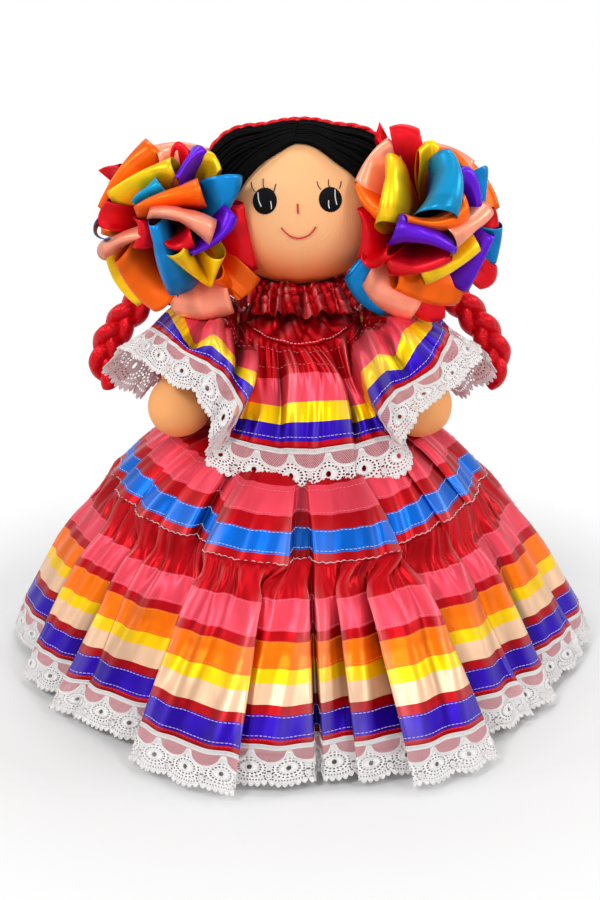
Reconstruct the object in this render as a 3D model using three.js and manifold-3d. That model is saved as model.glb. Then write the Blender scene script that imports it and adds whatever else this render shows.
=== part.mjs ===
// A rag doll in a ribbon-banded dress. Millimetres, +Z up, the face looks towards -Y.
// The origin is on the floor, under the middle of the skirt.
// Left and right are those of someone who looks at the face, so left is -X.
import * as THREE from "three";
import { mergeVertices } from "three/addons/utils/BufferGeometryUtils.js";
import Module from "manifold-3d";

const wasm = await Module();
wasm.setup();

// Fits shared by all pieces
const clearance = 0.3;
const clothThickness = 1;
const laceThickness = 0.8;
const laceWidth = 28;

// Hoop and petticoat that carry the skirt
const hoopRadius = 182;
const hoopWidth = 6;
const hoopHeight = 4;
const petticoatThickness = 1.2;
const petticoatRadiusShares = [0, 0.3, 0.66, 0.87, 1];
const petticoatHeightShares = [1, 0.83, 0.6, 0.3, 0];

// Stuffed torso: heights are shares of its length, widths of the shoulders', depths of the waist's
const torsoBottomZ = 165;
const torsoLength = 103;
const shoulderHalfWidth = 40;
const waistRadius = 32;
const torsoHeightShares = [0, 0.07, 0.15, 0.32, 0.55, 0.757, 0.88, 0.96, 1];
const torsoWidthShares = [0.7, 0.79, 0.8, 0.8, 0.9, 1, 0.95, 0.75, 0.44];
const torsoDepthShares = [0.56, 0.88, 1, 1, 0.94, 0.88, 0.81, 0.72, 0.5];
const torsoSides = 18;

// Neck and head
const neckRadius = 14;
const neckHeight = 16.4;
const neckSides = 16;
const headHalfWidth = 61.5;
const headHalfDepth = 56;
const headHalfHeight = 55.5;
const headSegments = 22;
const headRings = 12;
const hairThickness = 2.6;
const hairlinePeakTurn = 58;
const hairlineTempleTurn = 15;
const hairlineTempleSide = 47;
const napeTurn = -52;
const earTurn = 80;

// Embroidered face, as degrees round and above the middle of the head
const eyeRadius = 8.6;
const eyeSide = 22;
const eyeRise = 13;
const eyeThickness = 0.7;
const eyeSides = 14;
const stitchRadius = 0.6;
const stitchSides = 6;
const noseRise = 7.5;
const noseWidth = 1.5;
const mouthSide = 11;
const mouthCornerRise = -5;
const mouthMiddleRise = -13;
const mouthSagShare = 0.75;

// Headband over the crown
const headbandRadius = 2.6;
const headbandReach = 62;
const headbandSides = 7;
const headbandSteps = 12;

// Ribbon bows: each ribbon has its own layer, and every layer opens more than the one behind it
const bowRadius = 60;
const bowSide = 85;
const bowForward = 38;
const bowDrop = 5;
const bowTurnOut = 20;
const ribbonWidth = 27;
const loopDepth = 12;
const hubRadius = 7;
const hubHeight = 4.4;
const hubSides = 6;
const bowTieRadius = 5;
const bowTieSteps = 6;
const bowRibbons = [
  ["red", 5],
  ["orange", 5],
  ["teal", 5],
  ["salmon", 4],
  ["purple", 3],
  ["yellow", 3],
];
const bowTiltStart = 5;
const bowTiltStep = 12.5;
const bowTurnStep = 40;
const bowLengthShareStep = 0.09;
const bowWidthShareStep = 0.14;
const hubShareStep = 0.13;
const loopLengthShares = [0.05, 0.4, 0.85, 1, 0.88, 0.4];
const loopDepthShares = [0, 0.24, 0.46, 0, -0.44, -0.2];

// Braids: a route behind the bows, past the sleeves, down beside the arms
const braidRadius = 8;
const braidSides = 7;
const braidSteps = 18;
const braidSwells = 6;
const braidSwellShare = 0.12;
const braidSideShares = [0.3, 0.6, 0.82, 0.99, 1, 0.93];
const braidBackShares = [0.35, 0.75, 0.95, 1, 1, 1];
const braidDropShares = [0.1, 0.24, 0.45, 0.68, 0.86, 1];
const braidSpread = 158;
const braidBack = 38;
const braidFall = 145;

// Arms, with their hinge line across the shoulders
const armRadius = 13.5;
const wristRadius = 11;
const armSides = 12;
const armSteps = 6;
const armReachShares = [0, 0.3, 0.75, 1];
const armDropShares = [0, 0.05, 0.45, 1];
const shoulderDrop = 25;
const armReach = 56;
const armDrop = 22;
const armForward = 22;
const handRadius = 22.5;
const handSide = 86;
const handForward = 36;
const handDrop = 40;
const handSegments = 16;
const handRings = 10;
const undersleeveRadius = 17.5;
const undersleeveMouthRadius = 24;
const undersleeveThickness = 1.2;
const undersleeveStartShare = 0.12;
const undersleeveEndShare = 0.96;

// Legs and shoes inside the petticoat
const legRadius = 14.7;
const kneeRadius = 12.5;
const ankleRadius = 10;
const legSide = 17;
const legSides = 12;
const legDomeRises = [80, 60, 40, 20];
const kneeShare = 0.5;
const ankleShare = 0.85;
const shoeTopZ = 30;
const soleZ = 6;
const shoeHalfWidth = 13;
const heelBack = 14;
const toeForward = 42;
const shoeLengthShares = [0, 0.12, 0.4, 0.7, 0.9, 1];
const shoeWidthShares = [0.55, 0.85, 0.9, 1, 0.8, 0.35];
const shoeHeightShares = [0.8, 1, 1, 0.55, 0.42, 0.3];
const shoeTopWidthShare = 0.85;

// Waistband and skirt: a profile at the sides and back, and a flatter one at the front
const waistbandHeight = 10;
const waistbandThickness = 3.6;
const waistZ = 186;
const hemRadius = 226.5;
const hemZ = 5;
const sideRadiusShares = [0.21, 0.32, 0.435, 0.562];
const sideHeightShares = [0.992, 0.961, 0.875, 0.742];
const frontRadiusShares = [0.18, 0.32, 0.446, 0.562];
const frontHeightShares = [0.914, 0.814, 0.737, 0.67];
const sideLowerRadiusShares = [0.757, 0.898];
const sideLowerHeightShares = [0.515, 0.26];
const frontLowerRadiusShares = [0.747, 0.893];
const frontLowerHeightShares = [0.46, 0.232];
const upperFolds = 22;
const upperFoldDepth = 6;
const lowerFoldDepth = 20;
const stepsPerFold = 4;
const upperRows = 3;
const lowerRows = 3;
const frontValleyTurns = [
  -86, -74, -62.5, -52, -41.5, -28, -9.7, 1.2, 8.8, 17.4, 32.4, 43, 52.8, 64, 77, 89,
];
const backFolds = 13;

// Blouse: yoke round the shoulders, standing collar frill, and a gathered ruffle in four panels
const yokeHalfWidth = 43.2;
const yokeHalfDepth = 48;
const yokeFrontDrop = 17;
const yokeSideDrop = 6;
const yokeSides = 32;
const collarInnerRadius = 24;
const collarHeight = 16;
const collarReach = 16;
const collarFolds = 12;
const collarFoldShare = 0.2;
const collarHeightShares = [0, 0.8, 1, 0.55, 0];
const collarReachShares = [0, 0, 0.4, 0.9, 1];
const ruffleRows = 3;
const ruffleClothWidth = 72;
const panelTurn = 60;
const panelFolds = 5;
const panelFoldDepth = 5;
const panelCornerHalfWidth = 69;
const panelReach = 96;
const panelCornerReach = 74;
const panelDrop = 108;
const panelCornerDrop = 100;
const sleeveFolds = 6;
const sleeveFoldDepth = 6;
const sleeveReach = 92;
const sleeveFront = 82;
const sleeveSeamHalf = 36;
const sleeveSideDrop = 22;
const sleeveFrontDrop = 50;
const sleeveArch = 8;
const sleeveTurn = 88;
const sleeveDropPower = 5;

// Places worked out from the sizes
const torsoTopZ = torsoBottomZ + torsoLength;
const neckBottomZ = torsoTopZ + clearance;
const neckTopZ = neckBottomZ + neckHeight;
const headZ = neckTopZ + clearance + headHalfHeight;
const shoulderZ = torsoTopZ - shoulderDrop;
const hipZ = torsoBottomZ - clearance - legRadius;
const armInnerX = shoulderHalfWidth + clearance;
const sleeveInnerX = yokeHalfWidth + clothThickness + clearance;
const headMiddle = new THREE.Vector3(0, 0, headZ);

function colour(hex, roughness) {
  return new THREE.MeshStandardMaterial({ color: hex, roughness, metalness: 0 });
}

const finishes = {
  skin: colour(0xf6a25a, 0.75),
  hair: colour(0x0b0a0c, 0.55),
  thread: colour(0x0a0a0a, 0.5),
  redThread: colour(0xd01428, 0.5),
  red: colour(0xc80a24, 0.35),
  banded: colour(0xe8405a, 0.35),
  lace: colour(0xf7f5f6, 0.8),
  net: colour(0xf2eeee, 0.9),
  hoop: colour(0xe8e4e0, 0.5),
  felt: colour(0x16120f, 0.9),
  orange: colour(0xff6a00, 0.35),
  teal: colour(0x0d86c0, 0.35),
  salmon: colour(0xfc9a78, 0.35),
  purple: colour(0x4313a8, 0.35),
  yellow: colour(0xfdbb0a, 0.35),
};

const point = (x, y, z) => new THREE.Vector3(x, y, z);
const radians = THREE.MathUtils.degToRad;
const mix = THREE.MathUtils.lerp;
const evenly = (count, from, to) =>
  Array.from({ length: count }, (_, i) => mix(from, to, i / (count - 1)));

// Makes a closed mesh of points and triangles, and turns it the right way out.
function closedGeometry(points, triangles) {
  let volume = 0;
  for (const [a, b, c] of triangles) {
    volume += points[a].dot(points[b].clone().cross(points[c]));
  }
  const ordered = volume > 0 ? triangles : triangles.map(([a, b, c]) => [a, c, b]);
  const geometry = new THREE.BufferGeometry().setFromPoints(points);
  geometry.setIndex(ordered.flat());
  geometry.computeVertexNormals();
  return geometry;
}

// A body through a row of rings, closed at both ends with a fan.
function loftedBody(rings) {
  const sides = rings[0].length;
  const points = rings.flat();
  const triangles = [];
  for (let j = 0; j + 1 < rings.length; j++) {
    for (let i = 0; i < sides; i++) {
      const a = j * sides + i;
      const b = j * sides + ((i + 1) % sides);
      triangles.push([a, b, b + sides], [a, b + sides, a + sides]);
    }
  }
  for (const [ring, flip] of [
    [0, true],
    [rings.length - 1, false],
  ]) {
    const middle = rings[ring].reduce((sum, p) => sum.add(p), point(0, 0, 0)).divideScalar(sides);
    const centre = points.push(middle) - 1;
    for (let i = 0; i < sides; i++) {
      const a = ring * sides + i;
      const b = ring * sides + ((i + 1) % sides);
      triangles.push(flip ? [b, a, centre] : [a, b, centre]);
    }
  }
  return closedGeometry(points, triangles);
}

// The faces between one section of points and the next. The second half of a section lies behind
// the first, so its faces are split along the matching diagonal and the wall keeps its thickness.
function band(here, next, rows) {
  return Array.from({ length: rows }, (_, j) => {
    const k = (j + 1) % rows;
    const [a, b, c, d] = [here + j, next + j, next + k, here + k];
    return j < rows / 2
      ? [
          [a, b, c],
          [a, c, d],
        ]
      : [
          [a, b, d],
          [b, c, d],
        ];
  }).flat();
}

// A ring that closes on itself both ways: section(turn) gives the points of the section there.
function ringBody(turns, section) {
  const sections = turns.map(section);
  const rows = sections[0].length;
  const triangles = sections.flatMap((_, i) => band(i * rows, ((i + 1) % sections.length) * rows, rows));
  return closedGeometry(sections.flat(), triangles);
}

// Cloth of an even thickness along surface(across, down). A ring closes on itself across.
function clothBody(surface, across, down, thickness, ring) {
  const step = 1e-3;
  const normal = (u, v) => {
    const v0 = Math.min(v, 1 - step);
    const here = surface(u, v0);
    const side = surface(u + step, v0).sub(here);
    const fall = surface(u, v0 + step).sub(here);
    return side.cross(fall).normalize();
  };
  const columns = across.map((u) => {
    const middle = down.map((v) => surface(u, v));
    const offsets = down.map((v) => normal(u, v).multiplyScalar(thickness / 2));
    const front = middle.map((p, j) => p.clone().add(offsets[j]));
    const back = middle.map((p, j) => p.clone().sub(offsets[j]));
    return [...front, ...back.reverse()];
  });
  if (ring) return ringBody(columns, (column) => column);
  const rows = columns[0].length;
  const triangles = columns.slice(1).flatMap((_, i) => band(i * rows, (i + 1) * rows, rows));
  for (const [column, flip] of [
    [0, false],
    [columns.length - 1, true],
  ]) {
    for (let j = 0; j + 1 < rows / 2; j++) {
      const a = column * rows + j;
      const b = a + 1;
      const c = column * rows + rows - 1 - j;
      const d = c - 1;
      const quad = [
        [a, b, d],
        [a, d, c],
      ];
      triangles.push(...(flip ? quad.map(([p, q, r]) => [p, r, q]) : quad));
    }
  }
  return closedGeometry(columns.flat(), triangles);
}

// A soft tube along a curve, with a radius that changes along it.
function tubeBody(curve, steps, sides, radiusAt) {
  const frames = curve.computeFrenetFrames(steps, false);
  const rings = evenly(steps + 1, 0, 1).map((t, j) => {
    const centre = curve.getPointAt(t);
    return Array.from({ length: sides }, (_, i) => {
      const angle = (2 * Math.PI * i) / sides;
      const out = frames.normals[j].clone().multiplyScalar(Math.cos(angle));
      out.addScaledVector(frames.binormals[j], Math.sin(angle));
      return centre.clone().addScaledVector(out, radiusAt(t));
    });
  });
  return loftedBody(rings);
}

function toSolid(geometry) {
  const bare = geometry.index ? geometry.clone() : mergeVertices(geometry);
  bare.deleteAttribute("normal");
  bare.deleteAttribute("uv");
  const merged = mergeVertices(bare, 1e-4);
  return new wasm.Manifold(
    new wasm.Mesh({
      numProp: 3,
      vertProperties: new Float32Array(merged.attributes.position.array),
      triVerts: new Uint32Array(merged.index.array),
    }),
  );
}

function toGeometry(solid) {
  const mesh = solid.getMesh();
  const geometry = new THREE.BufferGeometry();
  geometry.setAttribute("position", new THREE.BufferAttribute(mesh.vertProperties, 3));
  geometry.setIndex(new THREE.BufferAttribute(mesh.triVerts, 1));
  geometry.computeVertexNormals();
  return geometry;
}

const cut = (geometry, ...tools) =>
  toGeometry(tools.reduce((solid, tool) => solid.subtract(toSolid(tool)), toSolid(geometry)));

const keepInside = (geometry, ...tools) =>
  toGeometry(tools.reduce((solid, tool) => solid.intersect(toSolid(tool)), toSolid(geometry)));

const joined = (geometries) =>
  toGeometry(geometries.map(toSolid).reduce((solid, other) => solid.add(other)));

function ellipse(halfWidth, halfDepth, z, sides) {
  return Array.from({ length: sides }, (_, i) => {
    const angle = (2 * Math.PI * i) / sides;
    return point(halfWidth * Math.sin(angle), -halfDepth * Math.cos(angle), z);
  });
}

// The head's own shape, grown outwards by an amount. Pieces that lie on the head are cut from it.
function headShape(grown) {
  const shape = new THREE.SphereGeometry(1, headSegments, headRings).rotateX(Math.PI / 2);
  shape.scale(headHalfWidth + grown, headHalfDepth + grown, headHalfHeight + grown);
  return shape.translate(0, 0, headZ);
}

// A point over the head, at degrees round from the face and degrees above the middle.
function onHead(side, rise, grown) {
  const s = radians(side);
  const r = radians(rise);
  return point(
    (headHalfWidth + grown) * Math.sin(s) * Math.cos(r),
    -(headHalfDepth + grown) * Math.cos(s) * Math.cos(r),
    headZ + (headHalfHeight + grown) * Math.sin(r),
  );
}

function torso() {
  const rings = torsoHeightShares.map((share, i) =>
    ellipse(
      shoulderHalfWidth * torsoWidthShares[i],
      waistRadius * torsoDepthShares[i],
      torsoBottomZ + torsoLength * share,
      torsoSides,
    ),
  );
  return loftedBody(rings);
}

function neck() {
  const shape = new THREE.CylinderGeometry(neckRadius, neckRadius, neckHeight, neckSides);
  return shape.rotateX(Math.PI / 2).translate(0, 0, neckBottomZ + neckHeight / 2);
}

function eye(side) {
  const middle = onHead(side * eyeSide, eyeRise, 0);
  const out = middle.clone().sub(headMiddle).normalize();
  const plug = new THREE.CylinderGeometry(eyeRadius, eyeRadius, headHalfDepth, eyeSides);
  plug.applyQuaternion(new THREE.Quaternion().setFromUnitVectors(point(0, 1, 0), out));
  plug.translate(middle.x, middle.y, middle.z);
  return cut(keepInside(headShape(clearance + eyeThickness), plug), headShape(clearance));
}

// A thread that lies on the head, cut to the head's own faces.
function stitch(places, steps) {
  const lift = stitchRadius / 2;
  const curve = new THREE.CatmullRomCurve3(places.map(([side, rise]) => onHead(side, rise, lift)));
  return cut(tubeBody(curve, steps, stitchSides, () => stitchRadius), headShape(clearance));
}

const nose = () =>
  stitch(
    [
      [-noseWidth, noseRise],
      [0, noseRise - noseWidth],
      [noseWidth, noseRise],
    ],
    4,
  );

const mouth = () =>
  stitch(
    [
      [-mouthSide, mouthCornerRise],
      [-mouthSide / 2, mix(mouthCornerRise, mouthMiddleRise, mouthSagShare)],
      [0, mouthMiddleRise],
      [mouthSide / 2, mix(mouthCornerRise, mouthMiddleRise, mouthSagShare)],
      [mouthSide, mouthCornerRise],
    ],
    12,
  );

// A block on the far side of the plane through three points, away from the middle of the head.
function blockBeyond(a, b, c) {
  const plane = new THREE.Plane().setFromCoplanarPoints(a, b, c);
  const size = 4 * headHalfWidth;
  const block = new THREE.BoxGeometry(size, size, size).translate(0, 0, size / 2);
  block.applyQuaternion(new THREE.Quaternion().setFromUnitVectors(point(0, 0, 1), plane.normal));
  return block.translate(a.x, a.y, a.z);
}

// Half of the sewn yarn hair: a cap over the crown, side and back, parted in the middle.
function hair(side) {
  const size = 4 * headHalfWidth;
  const half = new THREE.BoxGeometry(size, size, size);
  half.translate(side * (size / 2 + clearance / 2), 0, headZ);
  const peak = onHead(0, hairlinePeakTurn, 0);
  const temple = onHead(side * hairlineTempleSide, hairlineTempleTurn, 0);
  const ear = onHead(side * earTurn, napeTurn, 0);
  const face = side < 0 ? blockBeyond(peak, temple, ear) : blockBeyond(peak, ear, temple);
  const nape = new THREE.BoxGeometry(size, size, size);
  nape.translate(0, 0, onHead(0, napeTurn, 0).z - size / 2);
  const cap = keepInside(headShape(clearance + hairThickness), half);
  return cut(cap, headShape(clearance), face, nape);
}

function headband() {
  const lift = 2 * clearance + hairThickness + headbandRadius;
  const places = evenly(headbandSteps + 1, -headbandReach, headbandReach).map((degrees) => {
    const angle = radians(degrees);
    const x = (headHalfWidth + lift) * Math.sin(angle);
    const z = headZ + (headHalfHeight + lift) * Math.cos(angle);
    return point(x, 0, z);
  });
  const curve = new THREE.CatmullRomCurve3(places);
  return tubeBody(curve, headbandSteps, headbandSides, () => headbandRadius);
}

// One ribbon of a bow: loops like teardrops round a flat hub, all opened by the same tilt.
function bowRibbon(layer, loopCount) {
  const length = bowRadius * (1 - bowLengthShareStep * layer);
  const narrowing = 1 - bowWidthShareStep * layer;
  const width = ribbonWidth * narrowing;
  const outline = new THREE.Shape(
    loopLengthShares.map(
      (share, i) => new THREE.Vector2(length * share, loopDepth * narrowing * loopDepthShares[i]),
    ),
  );
  const middle = hubHeight / 2;
  const loops = Array.from({ length: loopCount }, (_, i) => {
    const loop = new THREE.ExtrudeGeometry(outline, { depth: width, bevelEnabled: false });
    loop.translate(0, 0, -width / 2).rotateX(Math.PI / 2);
    loop.rotateY(-radians(bowTiltStart + bowTiltStep * layer));
    const turn = (2 * Math.PI * i) / loopCount + radians(bowTurnStep * layer);
    return loop.translate(0, 0, middle).rotateZ(turn);
  });
  const ownHub = hubRadius * (1 - hubShareStep * layer);
  const nextHub = hubRadius * (1 - hubShareStep * (layer + 1)) + clearance;
  const hub = new THREE.CylinderGeometry(ownHub, ownHub, hubHeight, hubSides);
  const bore = new THREE.CylinderGeometry(nextHub, nextHub, bowRadius, hubSides);
  const below = new THREE.BoxGeometry(4 * bowRadius, 4 * bowRadius, bowRadius);
  return cut(
    joined([hub.rotateX(Math.PI / 2).translate(0, 0, middle), ...loops]),
    bore.rotateX(Math.PI / 2).translate(0, 0, hubHeight + bowRadius / 2),
    below.translate(0, 0, -bowRadius / 2),
  );
}

// Where a bow's own axis lies: its foot is the back of the rearmost hub.
function bowPlace(side) {
  const out = point(side * Math.sin(radians(bowTurnOut)), -Math.cos(radians(bowTurnOut)), 0);
  const foot = point(side * bowSide, -bowForward, headZ - bowDrop);
  return { foot, turn: new THREE.Quaternion().setFromUnitVectors(point(0, 0, 1), out), out };
}

function placed(geometry, side) {
  const { foot, turn } = bowPlace(side);
  return geometry.applyQuaternion(turn).translate(foot.x, foot.y, foot.z);
}

// The wound stub that ties a bow to the side of the hair.
function bowTie(side) {
  const { foot, out } = bowPlace(side);
  const start = foot.clone().addScaledVector(out, -clearance);
  const behind = start.clone().addScaledVector(out, -bowTieRadius);
  const middle = start.clone().lerp(onHead(side * earTurn, 0, 0), 1 / 2);
  const end = onHead(side * earTurn, 0, -bowTieRadius);
  const curve = new THREE.CatmullRomCurve3([start, behind, middle, end]);
  const stub = tubeBody(curve, bowTieSteps, hubSides, () => bowTieRadius);
  return cut(stub, headShape(2 * clearance + hairThickness));
}

// A braid leaves the hair behind the bow, passes outside the sleeve and hangs beside the arm.
function braid(side) {
  const places = braidSideShares.map((share, i) =>
    point(
      side * braidSpread * share,
      braidBack * braidBackShares[i],
      headZ - braidFall * braidDropShares[i],
    ),
  );
  const curve = new THREE.CatmullRomCurve3(places);
  const swell = (t) => 1 - braidSwellShare * Math.cos(2 * Math.PI * braidSwells * t);
  const rope = tubeBody(curve, braidSteps, braidSides, (t) => braidRadius * swell(t));
  return cut(rope, headShape(2 * clearance + hairThickness));
}

// Where the middle line of an arm runs, from the shoulder seam to the wrist.
function armCurve(side) {
  const places = armReachShares.map((share, i) =>
    point(
      side * (armInnerX + armReach * share),
      -armForward * armDropShares[i],
      shoulderZ - armDrop * armDropShares[i],
    ),
  );
  return new THREE.CatmullRomCurve3(places);
}

const handMiddle = (side) => point(side * handSide, -handForward, shoulderZ - handDrop);

function ball(middle, radius) {
  const shape = new THREE.SphereGeometry(radius, handSegments, handRings).rotateX(Math.PI / 2);
  return shape.translate(middle.x, middle.y, middle.z);
}

function arm(side) {
  const radiusAt = (t) => mix(armRadius, wristRadius, t);
  const stuffed = tubeBody(armCurve(side), armSteps, armSides, radiusAt);
  const inside = new THREE.BoxGeometry(2 * armInnerX, 4 * armRadius, 4 * armRadius);
  inside.translate(0, 0, shoulderZ);
  return cut(stuffed, ball(handMiddle(side), handRadius + clearance), inside);
}

const hand = (side) => ball(handMiddle(side), handRadius);

// The loose red sleeve round the arm, narrow at the shoulder and wide at the wrist.
function undersleeve(side) {
  const curve = armCurve(side);
  const span = (t) => mix(undersleeveStartShare, undersleeveEndShare, t);
  const widthAt = (t) => mix(undersleeveRadius, undersleeveMouthRadius, t * t);
  const surface = (turn, t) => {
    const along = curve.getTangentAt(span(t));
    const up = point(0, 0, 1).addScaledVector(along, -along.z).normalize();
    const across = along.clone().cross(up);
    const centre = curve.getPointAt(span(t));
    const angle = 2 * Math.PI * turn;
    centre.addScaledVector(up, widthAt(t) * Math.cos(angle));
    return centre.addScaledVector(across, widthAt(t) * Math.sin(angle));
  };
  const turns = evenly(armSides + 1, 0, 1).slice(0, -1);
  const sleeve = clothBody(surface, turns, evenly(4, 0, 1), undersleeveThickness, true);
  return cut(sleeve, ball(handMiddle(side), handRadius + clearance));
}

function leg(side) {
  const dome = legDomeRises.map((degrees) => {
    const r = legRadius * Math.cos(radians(degrees));
    return ellipse(r, r, hipZ + legRadius * Math.sin(radians(degrees)), legSides);
  });
  const bottom = shoeTopZ + clearance;
  const taper = [
    [0, legRadius],
    [kneeShare, kneeRadius],
    [ankleShare, ankleRadius],
    [1, ankleRadius],
  ].map(([t, r]) => ellipse(r, r, mix(hipZ, bottom, t), legSides));
  return loftedBody([...dome, ...taper]).translate(side * legSide, 0, 0);
}

// A soft felt shoe: upright sections from heel to toe over a flat sole.
function shoe(side) {
  const sections = shoeLengthShares.map((share, i) => {
    const y = mix(heelBack, -toeForward, share);
    const half = shoeHalfWidth * shoeWidthShares[i];
    const top = mix(soleZ, shoeTopZ, shoeHeightShares[i]);
    return [
      point(-half, y, soleZ),
      point(half, y, soleZ),
      point(half, y, mix(soleZ, top, 1 / 2)),
      point(half * shoeTopWidthShare, y, top),
      point(-half * shoeTopWidthShare, y, top),
      point(-half, y, mix(soleZ, top, 1 / 2)),
    ];
  });
  return loftedBody(sections).translate(side * legSide, 0, 0);
}

function waistband() {
  const inner = waistRadius + clearance;
  const outer = inner + waistbandThickness;
  const profile = [
    [inner, 0],
    [outer, 0],
    [outer, waistbandHeight],
    [inner, waistbandHeight],
  ].map(([r, z]) => new THREE.Vector2(r, waistZ + z));
  return lathe(profile, yokeSides);
}

// A closed profile of (radius, height) turned about the Z axis.
function lathe(profile, segments) {
  const turns = evenly(segments + 1, 0, 2 * Math.PI).slice(0, -1);
  return ringBody(turns, (a) =>
    profile.map(({ x, y }) => point(x * Math.sin(a), -x * Math.cos(a), y)),
  );
}

const skirtTopRadius = waistRadius + clearance + clothThickness;
const skirtTopZ = waistZ - clearance - clothThickness / 2;

// The skirt's profile is one smooth curve per tier; shares run from the waist to the hem.
function profileCurve(radiusShares, heightShares) {
  const points = radiusShares.map((share, i) => {
    const r = mix(skirtTopRadius, hemRadius, share);
    return point(r, 0, mix(hemZ, skirtTopZ, heightShares[i]));
  });
  return new THREE.CatmullRomCurve3(points, false, "centripetal");
}

const upperSide = profileCurve([0, ...sideRadiusShares], [1, ...sideHeightShares]);
const upperFront = profileCurve([0, ...frontRadiusShares], [1, ...frontHeightShares]);
const lowerSide = profileCurve(
  [sideRadiusShares.at(-1), ...sideLowerRadiusShares, 1],
  [sideHeightShares.at(-1), ...sideLowerHeightShares, 0],
);
const lowerFront = profileCurve(
  [frontRadiusShares.at(-1), ...frontLowerRadiusShares, 1],
  [frontHeightShares.at(-1), ...frontLowerHeightShares, 0],
);

// How far a fold's crest stands out at a turn, from 0 in a valley to 1 on a crest.
const foldWave = (phase) => (1 - Math.cos(2 * Math.PI * phase)) / 2;

// Valleys of the lower tier, in degrees from the front: read at the front, regular at the back.
const backStart = frontValleyTurns.at(-1);
const backPitch = (360 + frontValleyTurns[0] - backStart) / backFolds;
const lowerValleys = [
  ...frontValleyTurns,
  ...Array.from({ length: backFolds }, (_, i) => backStart + backPitch * (i + 1)),
];

// Turns an along-the-folds value into degrees: whole numbers are valleys.
function lowerTurn(fold) {
  const i = Math.min(Math.floor(fold), lowerValleys.length - 2);
  return mix(lowerValleys[i], lowerValleys[i + 1], fold - i);
}

function skirtPoint(side, front, degrees, down, depth, crest) {
  const a = radians(degrees);
  const toFront = Math.cos(a) ** 2;
  const p = side.getPointAt(down).lerp(front.getPointAt(down), toFront);
  const r = p.x - depth * (1 - crest);
  return point(r * Math.sin(a), -r * Math.cos(a), p.z);
}

function upperPoint(fold, down) {
  const depth = upperFoldDepth * Math.sin(Math.PI * down);
  return skirtPoint(upperSide, upperFront, (360 * fold) / upperFolds, down, depth, foldWave(fold));
}

function lowerPoint(fold, down) {
  const depth = lowerFoldDepth * down;
  return skirtPoint(lowerSide, lowerFront, lowerTurn(fold), down, depth, foldWave(fold));
}

const foldSteps = (folds) => evenly(folds * stepsPerFold + 1, 0, folds);
const upperColumns = foldSteps(upperFolds).slice(0, -1);
const lowerColumns = foldSteps(lowerValleys.length - 1).slice(0, -1);
const gapShare = clearance / lowerSide.getLength();
const laceShare = laceWidth / lowerSide.getLength();

function skirtUpper() {
  const down = evenly(upperRows, 0, 1 - 2 * gapShare);
  return clothBody(upperPoint, upperColumns, down, clothThickness, true);
}

function skirtLower() {
  const down = evenly(lowerRows, gapShare, 1 - laceShare - gapShare);
  return clothBody(lowerPoint, lowerColumns, down, clothThickness, true);
}

const hemLace = () => clothBody(lowerPoint, lowerColumns, [1 - laceShare, 1], laceThickness, true);

// The stiff net cone that holds the skirt out, from the waist down to the hoop.
function petticoat() {
  const top = waistRadius + clearance + petticoatThickness / 2;
  const bottom = hoopHeight + clearance + petticoatThickness / 2;
  const surface = (turn, down) => {
    const j = Math.min(Math.floor(down), petticoatRadiusShares.length - 2);
    const r = mix(petticoatRadiusShares[j], petticoatRadiusShares[j + 1], down - j);
    const h = mix(petticoatHeightShares[j], petticoatHeightShares[j + 1], down - j);
    const radius = mix(top, hoopRadius, r);
    const z = mix(bottom, waistZ - 2 * clothThickness - clearance, h);
    const a = 2 * Math.PI * turn;
    return point(radius * Math.sin(a), -radius * Math.cos(a), z);
  };
  const turns = evenly(yokeSides + 1, 0, 1).slice(0, -1);
  const rows = petticoatRadiusShares.map((_, i) => i);
  return clothBody(surface, turns, rows, petticoatThickness, true);
}

function hoop() {
  const inner = hoopRadius - hoopWidth / 2;
  const outer = hoopRadius + hoopWidth / 2;
  const profile = [
    [inner, 0],
    [outer, 0],
    [outer, hoopHeight],
    [inner, hoopHeight],
  ].map(([r, z]) => new THREE.Vector2(r, z));
  return lathe(profile, yokeSides);
}

// The seam between yoke and ruffle, an oval round the shoulders that dips at the front and back.
function yokeSeam(degrees) {
  const a = radians(degrees);
  const dip = mix(yokeFrontDrop, yokeSideDrop, Math.sin(a) ** 2);
  return point(yokeHalfWidth * Math.sin(a), -yokeHalfDepth * Math.cos(a), torsoTopZ - dip);
}

function yoke() {
  const neckHole = neckRadius + clearance + clothThickness;
  const surface = (turn, down) => {
    const a = 2 * Math.PI * turn;
    const topZ = torsoTopZ + clearance + clothThickness;
    const top = point(neckHole * Math.sin(a), -neckHole * Math.cos(a), topZ);
    const shoulder = point(
      collarInnerRadius * Math.sin(a),
      -collarInnerRadius * Math.cos(a),
      topZ - clothThickness / 2,
    );
    const seam = yokeSeam(360 * turn);
    return down < 1 ? top.lerp(shoulder, down) : shoulder.lerp(seam, down - 1);
  };
  const turns = evenly(yokeSides + 1, 0, 1).slice(0, -1);
  return clothBody(surface, turns, [0, 1, 2], clothThickness, true);
}

// The standing frill round the neck: a gathered fold whose outer edge waves.
function collar() {
  const bottom = torsoTopZ + clothThickness + 2 * clearance;
  return ringBody(foldSteps(collarFolds).slice(0, -1), (fold) => {
    const a = (2 * Math.PI * fold) / collarFolds;
    const reach = collarReach * (1 + collarFoldShare * (foldWave(fold) - 1));
    return collarHeightShares.map((share, i) => {
      const r = collarInnerRadius + reach * collarReachShares[i];
      return point(r * Math.sin(a), -r * Math.cos(a), bottom + collarHeight * share);
    });
  });
}

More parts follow.
